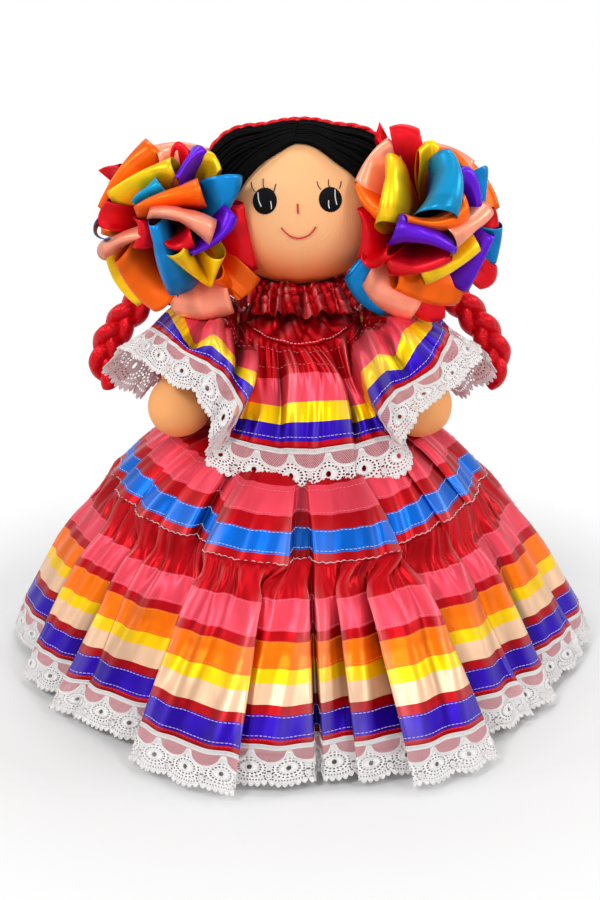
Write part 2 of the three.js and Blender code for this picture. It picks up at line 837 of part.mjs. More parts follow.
// A ruffle panel over the chest or back: facing is -1 at the front and 1 at the back.
function panelPoint(facing, fold, down) {
  const t = mix(-1, 1, fold / panelFolds);
  const seam = yokeSeam(t * panelTurn);
  const hem = point(
    (panelCornerHalfWidth * Math.sin(radians(t * panelTurn))) / Math.sin(radians(panelTurn)),
    -mix(panelReach, panelCornerReach, t * t),
    torsoTopZ - mix(panelDrop, panelCornerDrop, t * t),
  );
  const p = seam.lerp(hem, down);
  p.y -= panelFoldDepth * down * (foldWave(fold) - 1);
  return facing < 0 ? p : point(-p.x, -p.y, p.z);
}

// A ruffle panel over an arm: it fans out from the yoke's side, and arches over the arm.
function sleevePoint(side, fold, down) {
  const turn = radians(mix(-sleeveTurn, sleeveTurn, fold / sleeveFolds));
  const across = Math.cos(turn);
  const ahead = Math.sin(turn);
  const seamDrop = mix(yokeSideDrop, yokeFrontDrop, ahead ** 2);
  const seam = point(sleeveInnerX, sleeveSeamHalf * ahead, torsoTopZ - seamDrop);
  const drop = mix(sleeveSideDrop, sleeveFrontDrop, Math.abs(ahead) ** sleeveDropPower);
  const hem = point(
    sleeveInnerX + clearance + sleeveReach * across,
    sleeveFront * ahead,
    torsoTopZ - yokeSideDrop - drop,
  );
  const p = seam.lerp(hem, down);
  const arch = sleeveArch * Math.sin(Math.PI * down);
  p.z += arch + sleeveFoldDepth * down * (foldWave(fold) - 1);
  return point(side * p.x, p.y, p.z);
}

const ruffleWidth = ruffleClothWidth + laceWidth;
const ruffleLaceShare = laceWidth / ruffleWidth;
const ruffleSeamShare = (clearance + clothThickness) / ruffleWidth;
const ruffleGapShare = clearance / ruffleWidth;

function ruffle(pointAt, folds) {
  const down = evenly(ruffleRows, ruffleSeamShare, 1 - ruffleLaceShare - ruffleGapShare);
  return clothBody(pointAt, foldSteps(folds), down, clothThickness, false);
}

function ruffleLace(pointAt, folds) {
  return clothBody(pointAt, foldSteps(folds), [1 - ruffleLaceShare, 1], laceThickness, false);
}

function group(...meshes) {
  const made = new THREE.Group();
  made.add(...meshes);
  return made;
}

function piece(name, geometry, finish) {
  const mesh = new THREE.Mesh(geometry, finishes[finish]);
  mesh.name = name;
  return mesh;
}

const sides = [
  ["left", -1],
  ["right", 1],
];

function head() {
  const meshes = [
    piece("head", headShape(0), "skin"),
    piece("nose_stitch", nose(), "redThread"),
    piece("mouth_stitch", mouth(), "redThread"),
    piece("headband", headband(), "red"),
  ];
  for (const [name, side] of sides) {
    meshes.push(
      piece(`eye_${name}`, eye(side), "thread"),
      piece(`hair_${name}`, hair(side), "hair"),
      piece(`braid_${name}`, braid(side), "red"),
      piece(`bow_tie_${name}`, bowTie(side), "red"),
    );
    bowRibbons.forEach(([ribbon, loopCount], layer) => {
      const shape = bowRibbon(layer, loopCount).translate(0, 0, layer * (hubHeight + 2 * clearance));
      meshes.push(piece(`bow_${name}_${ribbon}`, placed(shape, side), ribbon));
    });
  }
  return group(...meshes);
}

function armGroup(name, side) {
  const over = (fold, down) => sleevePoint(side, fold, down);
  return group(
    piece(`arm_${name}`, arm(side), "skin"),
    piece(`hand_${name}`, hand(side), "skin"),
    piece(`undersleeve_${name}`, undersleeve(side), "red"),
    piece(`ruffle_sleeve_${name}`, ruffle(over, sleeveFolds), "banded"),
    piece(`lace_sleeve_${name}`, ruffleLace(over, sleeveFolds), "lace"),
  );
}

function legGroup(name, side) {
  return group(piece(`leg_${name}`, leg(side), "skin"), piece(`shoe_${name}`, shoe(side), "felt"));
}

function dress() {
  const chest = (fold, down) => panelPoint(-1, fold, down);
  const back = (fold, down) => panelPoint(1, fold, down);
  return group(
    piece("yoke", yoke(), "red"),
    piece("collar_frill", collar(), "red"),
    piece("ruffle_front", ruffle(chest, panelFolds), "banded"),
    piece("lace_front", ruffleLace(chest, panelFolds), "lace"),
    piece("ruffle_back", ruffle(back, panelFolds), "banded"),
    piece("lace_back", ruffleLace(back, panelFolds), "lace"),
    piece("waistband", waistband(), "red"),
    piece("skirt_upper", skirtUpper(), "banded"),
    piece("skirt_lower", skirtLower(), "banded"),
    piece("lace_hem", hemLace(), "lace"),
    piece("petticoat", petticoat(), "net"),
    piece("hoop", hoop(), "hoop"),
  );
}

const doll = group(
  piece("torso", torso(), "skin"),
  piece("neck", neck(), "skin"),
  head(),
  ...sides.map(([name, side]) => armGroup(name, side)),
  ...sides.map(([name, side]) => legGroup(name, side)),
  dress(),
);

export default doll;
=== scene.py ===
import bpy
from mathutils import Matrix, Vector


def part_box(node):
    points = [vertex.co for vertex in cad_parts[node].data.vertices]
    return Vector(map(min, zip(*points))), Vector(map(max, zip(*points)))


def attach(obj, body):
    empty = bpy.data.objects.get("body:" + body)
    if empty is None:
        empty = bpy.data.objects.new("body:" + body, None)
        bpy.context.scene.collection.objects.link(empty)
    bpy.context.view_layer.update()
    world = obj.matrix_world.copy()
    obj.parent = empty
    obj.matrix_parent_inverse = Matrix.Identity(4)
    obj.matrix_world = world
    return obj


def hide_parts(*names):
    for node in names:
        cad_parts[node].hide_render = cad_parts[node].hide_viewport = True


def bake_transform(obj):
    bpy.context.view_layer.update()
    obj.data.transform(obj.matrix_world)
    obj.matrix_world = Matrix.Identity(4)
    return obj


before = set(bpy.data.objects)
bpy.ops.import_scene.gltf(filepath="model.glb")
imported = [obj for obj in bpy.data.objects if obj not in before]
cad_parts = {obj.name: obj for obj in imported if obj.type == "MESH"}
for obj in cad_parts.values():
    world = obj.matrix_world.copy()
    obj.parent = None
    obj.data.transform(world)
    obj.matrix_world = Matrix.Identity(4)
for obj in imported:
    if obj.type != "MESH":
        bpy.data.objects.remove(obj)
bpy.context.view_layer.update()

# %% Libraries and small helpers
import functools
import math

import bmesh
import bpy
import numpy as np
from mathutils import Vector

scene = bpy.context.scene
mm = 0.001
sides = {"left": -1, "right": 1}


def mix(a, b, share):
    return a + (b - a) * share


def smoothstep(low, high, x):
    t = np.clip((x - low) / (high - low), 0, 1)
    return t * t * (3 - 2 * t)


def unit(v):
    v = np.asarray(v, float)
    return v / np.maximum(np.linalg.norm(v, axis=-1, keepdims=True), 1e-12)


def lengths(line):
    """How far each point of a line is along it."""
    return np.r_[0, np.cumsum(np.linalg.norm(np.diff(line, axis=0), axis=1))]


def resampled(spots, places, values):
    """Points at the spots of a line, from points whose places along it are known."""
    return np.stack([np.interp(spots, places, column) for column in np.asarray(values).T], -1)


def hermite(t, a, slope_a, b, slope_b):
    """The smooth curve from a to b at shares t, with given slopes at its ends."""
    first = (2 * t**3 - 3 * t**2 + 1) * a + (t**3 - 2 * t**2 + t) * slope_a
    return first + (3 * t**2 - 2 * t**3) * b + (t**3 - t**2) * slope_b


def bell(width, step, soft):
    """Weights that blur a line: a bell curve over 2 * width + 1 steps."""
    weights = np.exp(-((np.arange(-width, width + 1) * step / soft) ** 2) / 2)
    return weights / weights.sum()


def turned(radius, angle, height):
    """Points round the upright axis, from an angle that is 0 in front and grows to the right."""
    return np.stack([radius * np.sin(angle), -radius * np.cos(angle), height + 0 * angle], -1)


def path_frame(path, beside):
    """Directions forwards, sideways and up at each point of a path."""
    forward = unit(np.gradient(path, axis=0))
    side_way = unit(np.cross(forward, beside))
    return forward, side_way, np.cross(side_way, forward)


def smooth_line(points, count):
    """A smooth curve through points: count points evenly spaced along it."""
    p = np.asarray(points, float)
    knot = np.r_[0, np.cumsum(np.sqrt(np.linalg.norm(np.diff(p, axis=0), axis=1)))]
    slope = np.gradient(p, knot, axis=0)
    t = np.linspace(0, knot[-1], 24 * len(p))
    i = np.clip(np.searchsorted(knot, t, side="right") - 1, 0, len(p) - 2)
    span = (knot[i + 1] - knot[i])[:, None]
    share = (t - knot[i])[:, None] / span
    curve = hermite(share, p[i], span * slope[i], p[i + 1], span * slope[i + 1])
    length = lengths(curve)
    return resampled(np.linspace(0, length[-1], count), length, curve)


def table(text):
    """Rows of numbers from lines of text."""
    return np.array([[float(word) for word in line.split()] for line in text.strip().splitlines()])


def waves(seed, x, counts, falloff=0.6):
    """Soft irregular waves over x, which is in turns: whole counts close on themselves."""
    draw = np.random.default_rng(seed)
    total = np.zeros_like(x, dtype=float)
    size = 1.0
    for count in counts:
        total += size * np.sin(2 * math.pi * (count * x + draw.random()))
        size *= falloff
    return total

# %% [markdown]
# ## Camera
# The photograph was taken from a little above the doll with a long lens. A camera is a place, a
# tilt and a focal length, so those three are set, and a pixel of the picture can then be turned
# into a point at any depth. That is used below to place folds and loops.
# %% Camera
photo_width, photo_height = 600, 900
camera_back, camera_height, camera_tilt = 1.100, 0.544, math.radians(19.4)
camera_lens, camera_sensor = 62.5, 36.0
focal_pixels = camera_lens / camera_sensor * photo_height
camera_place = np.array([0, -camera_back, camera_height])

camera = bpy.data.objects.new("camera", bpy.data.cameras.new("camera"))
camera.data.lens = camera_lens
camera.data.sensor_width = camera_sensor
camera.location = camera_place
camera.rotation_euler = (math.pi / 2 - camera_tilt, 0, 0)
camera.data.clip_start, camera.data.clip_end = 0.02, 60
scene.collection.objects.link(camera)
scene.camera = camera


def at_pixel(px, py, y):
    """The point seen at a pixel of the photograph, at a depth y."""
    right = (px - photo_width / 2) / focal_pixels
    up = (photo_height / 2 - py) / focal_pixels
    c, s = math.cos(camera_tilt), math.sin(camera_tilt)
    ray = np.array([right, c + up * s, up * c - s])
    return camera_place + ray * (y + camera_back) / ray[1]


print("camera", round(focal_pixels, 1), "pixels to the picture plane")

# %% [markdown]
# ## Shader maths
# A pattern is an expression over coordinates. One small class wraps a shader socket, so that an
# expression in Python such as `1 - mask` adds the Math nodes it needs.
# %% Shader helper


class Value:
    """A number over a surface, with Python's operators."""

    def __init__(self, finish, socket):
        self.finish, self.socket = finish, socket

    def math(self, operation, *others):
        inputs = {i: s for i, s in enumerate((self, *others))}
        return self.finish.node("Math", {"operation": operation}, inputs)

    def __rsub__(self, other):
        return self * -1 + other

    def ramp(self, low, high):
        """0 below low and 1 above high, with a smooth step between."""
        inputs = {"Value": self, "From Min": low, "From Max": high}
        return self.finish.node("MapRange", {"interpolation_type": "SMOOTHSTEP"}, inputs)


def maths(operation):
    """A method that adds a Math node."""
    return lambda value, *others: value.math(operation, *others)


for method, operation in {
    "__add__": "ADD", "__radd__": "ADD", "__sub__": "SUBTRACT", "__mul__": "MULTIPLY",
    "__rmul__": "MULTIPLY", "__truediv__": "DIVIDE", "over": "GREATER_THAN",
    "under": "LESS_THAN", "least": "MINIMUM", "most": "MAXIMUM", "power": "POWER",
    "away": "ABSOLUTE", "fract": "FRACT", "sine": "SINE", "root": "SQRT",
}.items():
    setattr(Value, method, maths(operation))


class Finish:
    """A material, its Principled shader and the nodes that feed it."""

    def __init__(self, name, **fixed):
        self.material = bpy.data.materials.new(name)
        self.material.use_nodes = True
        self.tree = self.material.node_tree
        self.shader = self.tree.nodes["Principled BSDF"]
        for socket, value in fixed.items():
            self.shader.inputs[socket.replace("_", " ")].default_value = value

    def node(self, kind, settings=None, inputs=None, output=0):
        made = self.tree.nodes.new("ShaderNode" + kind)
        for key, value in (settings or {}).items():
            if key == "stops":
                self.fill_ramp(made.color_ramp, value)
            elif key == "steps":
                made.color_ramp.interpolation = "CONSTANT"
            else:
                setattr(made, key, value)
        for key, value in (inputs or {}).items():
            self.plug(made.inputs[key], value)
        return Value(self, made.outputs[output])

    def fill_ramp(self, ramp, stops):
        for place, _ in stops[2:]:
            ramp.elements.new(place)
        for element, (place, colour) in zip(ramp.elements, stops):
            element.position = place
            element.color = (*colour, 1)

    def plug(self, socket, value):
        if isinstance(value, Value):
            self.tree.links.new(value.socket, socket)
        else:
            socket.default_value = value

    def feed(self, name, value):
        self.plug(self.shader.inputs[name], value)

    def mixed(self, share, a, b):
        """Colour a where share is 0 and colour b where it is 1."""
        full = [c if isinstance(c, Value) else (*c, 1) for c in (a, b)]
        inputs = {0: share, 6: full[0], 7: full[1]}
        return self.node("Mix", {"data_type": "RGBA"}, inputs, output=2)

    def parts(self, source):
        """The x, y and z of a vector."""
        made = self.tree.nodes.new("ShaderNodeSeparateXYZ")
        self.tree.links.new(source.socket, made.inputs[0])
        return [Value(self, s) for s in made.outputs]

    def place(self):
        """Where a point is on the piece, as x, y and z in metres."""
        return self.parts(self.node("TexCoord", output="Object"))

    def cloth_place(self):
        """How far a point is along the cloth and down it, in metres."""
        return self.parts(self.node("UVMap", {"uv_map": "cloth"}))[:2]

    def grain(self, scale, detail=2.0):
        """Noise through the space that the piece lies in."""
        return self.noise(self.node("TexCoord", output="Object"), scale, detail)

    def vector(self, x=0.0, y=0.0, z=0.0):
        return self.node("CombineXYZ", None, {"X": x, "Y": y, "Z": z})

    def noise(self, where, scale, detail=2.0):
        inputs = {"Vector": where, "Scale": scale, "Detail": detail, "Roughness": 0.5}
        return self.node("TexNoise", None, inputs)

    def bump(self, height, distance, strength=1.0):
        inputs = {"Height": height, "Distance": distance, "Strength": strength}
        self.feed("Normal", self.node("Bump", None, inputs))


def srgb(red, green, blue):
    """A colour as it looks on a screen, 0 to 255, as the renderer's linear numbers."""
    parts = [c / 255 for c in (red, green, blue)]
    return tuple(c / 12.92 if c < 0.04045 else ((c + 0.055) / 1.055) ** 2.4 for c in parts)


print("shader helper ready")

# %% [markdown]
# ## Satin
# The dress and the bows are polyester satin: a smooth face with long floating threads, so light
# makes broad soft streaks along each fold. A ribbon band is another piece of satin sewn on top.
# The colour comes from the distance down the cloth, through a ramp with hard steps, and the bump
# has three scales: the thread, faint creases that run down the folds, and each ribbon's edge.
# Each cloth also stores its relief, so that shade can be painted into its folds and a faint
# highlight painted onto its ridges.
# %% Colours
satin_colours = {
    "red": srgb(186, 0, 16),
    "deep_red": srgb(170, 0, 14),
    "pink": srgb(240, 72, 92),
    "orange": srgb(255, 118, 0),
    "yellow": srgb(255, 205, 0),
    "cream": srgb(240, 196, 160),
    "purple": srgb(44, 4, 170),
    "blue": srgb(0, 104, 214),
}


def satin_sheen(finish, colour, raised, shine, crease):
    """What all satin shares: soft creases, a fine weave, and painted shade in folds, in broad
    patches and in thin streaks, with a faint painted highlight on ridges.
    """
    along, down = finish.cloth_place()
    streak = finish.noise(finish.vector(along, down * 0.3), 90.0, 2.0)
    crumple = finish.noise(finish.vector(along, down * 0.8), 46.0, 1.0)
    fine = finish.noise(finish.vector(along, down), 420.0, 2.0)
    relief = finish.node("Attribute", {"attribute_name": "relief"}, output=2)
    # Painted shade: the base colour darkens towards black in the folds of the relief, in broad
    # noise patches and in thin noise streaks.
    fold_shade = (relief * -1).ramp(0.0, 0.9)
    shade_patch = finish.noise(finish.vector(along, down * 0.1), 34.0, 1.0).ramp(0.50, 0.62)
    dark = fold_shade * 0.62 + shade_patch * 0.2 + (streak - 0.45) * 0.3
    shade = finish.mixed(dark, colour, (0.0, 0.0, 0.0))
    # Painted highlight: the ridges of the relief are mixed a little towards a pale pink.
    finish.feed("Base Color", finish.mixed(relief.ramp(0.2, 0.9) * 0.06, shade, (1.0, 0.9, 0.9)))
    finish.feed("Roughness", fine * 0.08 + (shine - 0.04))
    thread = (down * 7000.0).sine() * 0.002
    finish.bump(crumple * 1.5 * crease + streak * 0.25 + raised + thread, 0.0012, 0.6)
    return finish.material


def banded_satin(name, bands):
    """Satin whose bands are (distance down, colour) pairs, each from there to the next."""
    shine = 0.38
    finish = Finish(name, Roughness=shine, Metallic=0.5, Specular_IOR_Level=0.15,
                    Anisotropic=0.8, Anisotropic_Rotation=0.25)
    _, down = finish.cloth_place()
    reach = bands[-1][0] + 0.02
    stops = [(start / reach, satin_colours[colour]) for start, colour in bands]
    position = down / reach
    colour = finish.node("ValToRGB", {"stops": stops, "steps": True}, {0: position})
    ribbon = [(place, (0.0,) * 3 if "red" in kind else (1.0,) * 3)
              for (place, _), (_, kind) in zip(stops, bands)]
    raised = finish.node("ValToRGB", {"stops": ribbon, "steps": True}, {0: position})
    return satin_sheen(finish, colour, raised * 0.35, shine, 1.0)


print(len(satin_colours), "satin colours")

# %% [markdown]
# ## Cloth as a grid
# Each piece of the dress is a grid of points: rows go down the cloth and columns go along it. The
# grid also stores how far each column is along and each row is down, so ribbons, stitches and lace
# can be laid by real distances on cloth that is already folded.
# %% Cloth grid
class Cloth:
    """A grid of points, rows x columns x 3, with distances along and down it."""

    def __init__(self, points, along=None, down=None, closed=False, outwards=1):
        self.points, self.closed = np.asarray(points, float), closed
        wrapped = self.points
        if closed:
            wrapped = np.concatenate([self.points, self.points[:, :1]], axis=1)
        self.wrapped = wrapped
        middle = wrapped[len(wrapped) // 2]
        self.along = lengths(middle) if along is None else np.asarray(along)
        falls = np.linalg.norm(np.diff(wrapped, axis=0), axis=2).mean(axis=1)
        self.down = np.r_[0, np.cumsum(falls)] if down is None else np.asarray(down)
        if closed:
            ring = np.concatenate([wrapped[:, -2:-1], wrapped, wrapped[:, 1:2]], axis=1)
            side = np.gradient(ring, axis=1)[:, 1:-1]
        else:
            side = np.gradient(wrapped, axis=1)
        self.normal = unit(np.cross(np.gradient(wrapped, axis=0), side)) * outwards
        self.outwards = outwards

    def at(self, along, down, lift=0.0):
        """Points at distances along and down, lifted off the face."""
        along, down = np.broadcast_arrays(np.asarray(along, float), np.asarray(down, float))
        if self.closed:
            along = along % self.along[-1]
        i = np.clip(np.searchsorted(self.along, along, side="right") - 1, 0, len(self.along) - 2)
        j = np.clip(np.searchsorted(self.down, down, side="right") - 1, 0, len(self.down) - 2)
        u = ((along - self.along[i]) / (self.along[i + 1] - self.along[i]))[..., None]
        v = ((down - self.down[j]) / (self.down[j + 1] - self.down[j]))[..., None]

        def sample(field):
            top = mix(field[j, i], field[j, i + 1], u)
            return mix(top, mix(field[j + 1, i], field[j + 1, i + 1], u), v)

        return sample(self.wrapped) + unit(sample(self.normal)) * np.asarray(lift)[..., None]

    def relief(self, reach=9 * mm, full=3 * mm):
        """How far each point stands out of the cloth around it: -1 in a fold, 1 on a ridge."""
        count = self.points.shape[1]
        step = max(self.along[-1] / len(self.along), 1e-6)
        width = int(min(3 * reach / step, count // 2 - 1)) + 1
        kernel = bell(width, step, reach)
        way = "wrap" if self.closed else "edge"

        def soft(field):
            padded = np.pad(field, ((0, 0), (width, width), (0, 0)), way)
            rows = [[np.convolve(row[:, k], kernel, "valid") for k in range(3)] for row in padded]
            return np.moveaxis(np.array(rows), 1, 2)

        away = self.points - soft(self.points)
        facing = unit(soft(self.normal[:, :count]))
        return np.clip((away * facing).sum(axis=2) / full, -1, 1)

    def area(self):
        """The area of the cloth in square metres."""
        a = np.diff(self.wrapped, axis=0)[:, :-1]
        b = np.diff(self.wrapped, axis=1)[:-1]
        return float(np.linalg.norm(np.cross(a, b), axis=2).sum())


def new_object(name, mesh, *materials):
    """A mesh as an object of the scene."""
    for material in materials:
        mesh.materials.append(material)
    made = bpy.data.objects.new(name, mesh)
    scene.collection.objects.link(made)
    return made


def new_mesh(name, points, faces, edges=()):
    """A smooth-shaded mesh from points, faces and edges."""
    mesh = bpy.data.meshes.new(name)
    mesh.from_pydata(np.asarray(points, float).tolist(), list(edges), list(faces))
    mesh.polygons.foreach_set("use_smooth", [True] * len(mesh.polygons))
    return mesh


def give_wall(made, thickness):
    """Gives a sheet a real thickness, half of it on each side."""
    wall = made.modifiers.new("cloth thickness", "SOLIDIFY")
    wall.thickness, wall.offset = thickness, 0


def closed_faces(rings, segments):
    """Faces between rings of points, and fans to two end points that come after the rings."""
    faces = []
    low, high, last = rings * segments, rings * segments + 1, (rings - 1) * segments
    for i in range(rings - 1):
        for k in range(segments):
            n = (k + 1) % segments
            a, b = i * segments, (i + 1) * segments
            faces.append((a + k, a + n, b + n, b + k))
    for k in range(segments):
        n = (k + 1) % segments
        faces += [(low, n, k), (high, last + k, last + n)]
    return faces


def cloth_piece(name, cloth, material, thickness):
    """The mesh of a cloth, with its distances as a UV map and a real thickness."""
    rows, columns = cloth.points.shape[:2]
    count = columns if cloth.closed else columns - 1
    j, i = np.meshgrid(np.arange(rows - 1), np.arange(count), indexing="ij")
    j, i = j.ravel(), i.ravel()
    right = (i + 1) % columns
    corners = [(j, i, i), (j + 1, i, i), (j + 1, right, i + 1), (j, right, i + 1)]
    if cloth.outwards < 0:
        corners.reverse()
    faces = np.stack([row * columns + column for row, column, _ in corners], axis=1)
    mesh = new_mesh(name, cloth.points.reshape(-1, 3), faces.tolist())
    places = np.stack(
        [np.stack([cloth.along[u], cloth.down[row]], axis=1) for row, _, u in corners], axis=1
    )
    layer = mesh.uv_layers.new(name="cloth")
    layer.data.foreach_set("uv", places.reshape(-1).astype(np.float32))
    relief = mesh.attributes.new("relief", "FLOAT", "POINT")
    relief.data.foreach_set("value", cloth.relief().reshape(-1).astype(np.float32))
    made = new_object(name, mesh, material)
    give_wall(made, thickness)
    return made


print("cloth helpers ready")

# %% [markdown]
# ## Threads and stitches
# Sewing lines are what makes cloth read as cloth. Modelling each stitch by hand is hopeless, so
# Geometry Nodes do it: one tree turns paths into round thread, and the other one lays short
# stitches at a steady spacing along paths. Both end in plain geometry.
# %% Node trees for threads


def new_tree(name, inputs):
    """An empty tree with a geometry input and output, and named number inputs."""
    tree = bpy.data.node_groups.new(name, "GeometryNodeTree")
    tree.interface.new_socket("Geometry", in_out="INPUT", socket_type="NodeSocketGeometry")
    keys = {}
    for label, kind in inputs.items():
        socket = tree.interface.new_socket(label, in_out="INPUT", socket_type=kind)
        keys[label] = socket.identifier
    tree.interface.new_socket("Geometry", in_out="OUTPUT", socket_type="NodeSocketGeometry")
    return tree, keys


def link_nodes(tree, steps, links):
    """Adds nodes by name, sets them, and links them: each row is node.output > node.input."""
    made = {"in": tree.nodes.new("NodeGroupInput"), "out": tree.nodes.new("NodeGroupOutput")}
    for label, (kind, settings, values) in steps.items():
        made[label] = tree.nodes.new(kind)
        for key, value in settings.items():
            setattr(made[label], key, value)
        for key, value in values.items():
            made[label].inputs[key].default_value = value
    for row in links.strip().splitlines():
        source, target = (end.strip().split(".") for end in row.split(">"))
        output, entry = (int(key) if key.isdigit() else key for _, key in (source, target))
        tree.links.new(made[source[0]].outputs[output], made[target[0]].inputs[entry])


number, material_kind = "NodeSocketFloat", "NodeSocketMaterial"
thread_tree, thread_keys = new_tree(
    "round thread", {"Radius": number, "Sides": "NodeSocketInt", "Material": material_kind}
)
link_nodes(
    thread_tree,
    {
        "line": ("GeometryNodeMeshToCurve", {}, {}),
        "round": ("GeometryNodeCurvePrimitiveCircle", {"mode": "RADIUS"}, {}),
        "tube": ("GeometryNodeCurveToMesh", {}, {"Fill Caps": True}),
        "soft": ("GeometryNodeSetShadeSmooth", {}, {}),
        "real": ("GeometryNodeRealizeInstances", {}, {}),
        "paint": ("GeometryNodeSetMaterial", {}, {}),
    },
    """
        in.Geometry > line.Mesh
        in.Radius > round.Radius
        in.Sides > round.Resolution
        line.Curve > tube.Curve
        round.Curve > tube.Profile Curve
        tube.Mesh > soft.Geometry
        soft.Geometry > real.Geometry
        real.Geometry > paint.Geometry
        in.Material > paint.Material
        paint.Geometry > out.Geometry
    """,
)

stitch_tree, stitch_keys = new_tree(
    "running stitches",
    {"Spacing": number, "Length": number, "Radius": number, "Material": material_kind},
)
link_nodes(
    stitch_tree,
    {
        "line": ("GeometryNodeMeshToCurve", {}, {}),
        "even": ("GeometryNodeResampleCurve", {"mode": "LENGTH"}, {}),
        "bead": ("GeometryNodeMeshUVSphere", {}, {"Segments": 5, "Rings": 4, "Radius": 1.0}),
        "turned": ("GeometryNodeTransform", {}, {"Rotation": (0, math.pi / 2, 0)}),
        "tangent": ("GeometryNodeInputTangent", {}, {}),
        "turn": ("FunctionNodeAlignRotationToVector", {"axis": "X"}, {}),
        "half": ("ShaderNodeMath", {"operation": "MULTIPLY"}, {1: 0.5}),
        "size": ("ShaderNodeCombineXYZ", {}, {}),
        "copies": ("GeometryNodeInstanceOnPoints", {}, {}),
        "real": ("GeometryNodeRealizeInstances", {}, {}),
        "soft": ("GeometryNodeSetShadeSmooth", {}, {}),
        "paint": ("GeometryNodeSetMaterial", {}, {}),
    },
    """
        in.Geometry > line.Mesh
        line.Curve > even.Curve
        in.Spacing > even.Length
        bead.Mesh > turned.Geometry
        tangent.Tangent > turn.Vector
        in.Length > half.0
        half.0 > size.X
        in.Radius > size.Y
        in.Radius > size.Z
        even.Curve > copies.Points
        turned.Geometry > copies.Instance
        turn.Rotation > copies.Rotation
        size.Vector > copies.Scale
        copies.Instances > real.Geometry
        real.Geometry > soft.Geometry
        soft.Geometry > paint.Geometry
        in.Material > paint.Material
        paint.Geometry > out.Geometry
    """,
)


def path_mesh(name, paths, closed=False):
    """Paths as the edges of one mesh."""
    points, edges, start = [], [], 0
    for path in paths:
        count = len(path)
        points.append(np.asarray(path, float))
        edges += [(start + i, start + i + 1) for i in range(count - 1)]
        if closed:
            edges.append((start + count - 1, start))
        start += count
    return new_mesh(name, np.concatenate(points), [], edges)


def grown(name, mesh, tree, keys, values):
    """Runs a node tree on a mesh and keeps the result as a plain mesh."""
    made = new_object(name, mesh)
    step = made.modifiers.new("nodes", "NODES")
    step.node_group = tree
    for label, value in values.items():
        step[keys[label]] = value
    depsgraph = bpy.context.evaluated_depsgraph_get()
    result = bpy.data.meshes.new_from_object(made.evaluated_get(depsgraph))
    made.modifiers.clear()
    made.data = result
    result.name = name
    return made


def thread(name, paths, radius, material, sides=5, closed=False):
    """Round thread along paths."""
    values = {"Radius": radius, "Sides": sides, "Material": material}
    return grown(name, path_mesh(name, paths, closed), thread_tree, thread_keys, values)


def stitches(name, paths, material, spacing=2.9 * mm, length=2.55 * mm, radius=0.23 * mm):
    """Short stitches at a steady spacing along paths."""
    values = {"Spacing": spacing, "Length": length, "Radius": radius, "Material": material}
    return grown(name, path_mesh(name, paths), stitch_tree, stitch_keys, values)


# The twist of sewing thread, in radians to the metre
thread_twist = 5200.0


def thread_finish(name, colour, roughness=0.6):
    """Spun thread: a matt fibre with a fine twist in its bump."""
    finish = Finish(name, Roughness=roughness, Sheen_Weight=0.3)
    x, y, z = finish.place()
    twist = ((x + y + z) * thread_twist).sine()
    grain = finish.grain(900.0)
    finish.feed("Base Color", finish.mixed(grain * 0.3, colour, tuple(c * 0.6 for c in colour)))
    finish.bump(twist * 0.5 + grain, 0.0001, 0.6)
    return finish.material


white_thread = thread_finish("white sewing thread", srgb(250, 228, 234))
print("thread trees ready")

# %% [markdown]
# ## Skirt: shape
# The skirt is two tiers of pleated satin over a stiff petticoat. Each tier has two outlines, one
# for the sides and back and one for the front, and every point blends between them by its turn.
# The pleats are flat panels: in front, the two widest ones lie on top and each panel next to them
# is tucked under. A plan of the hem says where each panel starts and ends and how far out it is.
# The fold between two panels is hidden under the upper one, and the corners are rounded a little,
# because cloth can't fold to a point. Going up, the folds get shallower and end in gathers.
# %% Skirt outlines
satin_thick = 0.5 * mm
waist_radius, skirt_top = 33.3 * mm, 185.2 * mm
hem_radius, hem_height = 226.5 * mm, 5 * mm


def outline(radius_shares, height_shares):
    """Radii and heights down the skirt, from shares between its waist and its hem."""
    radii = mix(waist_radius, hem_radius, np.array(radius_shares))
    heights = mix(hem_height, skirt_top, np.array(height_shares))
    return smooth_line(np.stack([radii, heights], axis=1), 120)


upper_outlines = (
    outline([0, 0.21, 0.32, 0.435, 0.562], [1, 0.992, 0.961, 0.875, 0.742]),
    outline([0, 0.18, 0.32, 0.446, 0.562], [1, 0.94, 0.862, 0.78, 0.67]),
)
lower_outlines = (
    outline([0.562, 0.757, 0.898, 1], [0.742, 0.515, 0.26, 0]),
    outline([0.562, 0.747, 0.893, 1], [0.67, 0.46, 0.232, 0]),
)
lower_length = 156 * mm


def skirt_points(outlines, turns, offsets, down):
    """Points at turns in degrees and shares down, moved out by offsets: all rows x columns."""
    angle = np.radians(turns)
    to_front = np.cos(angle) ** 2
    share = np.linspace(0, 1, len(outlines[0]))
    places = []
    for k in (0, 1):
        side, front = (np.interp(down, share, line[:, k]) for line in outlines)
        places.append(mix(side, front, to_front))
    return turned(places[0] + offsets, angle, places[1])


# %% Panels of the lower tier: left turn and offset, right turn and offset, which one is on top
front_panels = [
    (-93, 0, -79, -20, "next"), (-70, -10, -58, -25, "next"), (-54, -13, -49.5, -21, "next"),
    (-48.5, -20, -33, -26, "next"), (-30, -5, -9.5, 13, "this"), (-9, -2, 2.4, -6, "gap"),
    (4, -7, 8.8, -13, "next"), (9.3, -4, 18, -9, "next"), (17.2, 10, 34, 3, "this"),
    (38, -23, 50, -19, "this"), (51.5, -22, 59, -15, "this"), (66, -24, 78.5, -9, "this"),
    (79, -14, 90, 2, "this"),
]
# The offsets without their folds, by turn: the hem isn't a perfect circle
lower_base = (
    [-180, -105, -88, -64, -52, -41, -20, -3, 6, 14, 26, 44, 55, 72, 84, 105, 180],
    [-6, -6, -9, -18, -18, -21, 3, -4, -9, -6, 6, -20, -17, -13, -2, -4, -6],
)


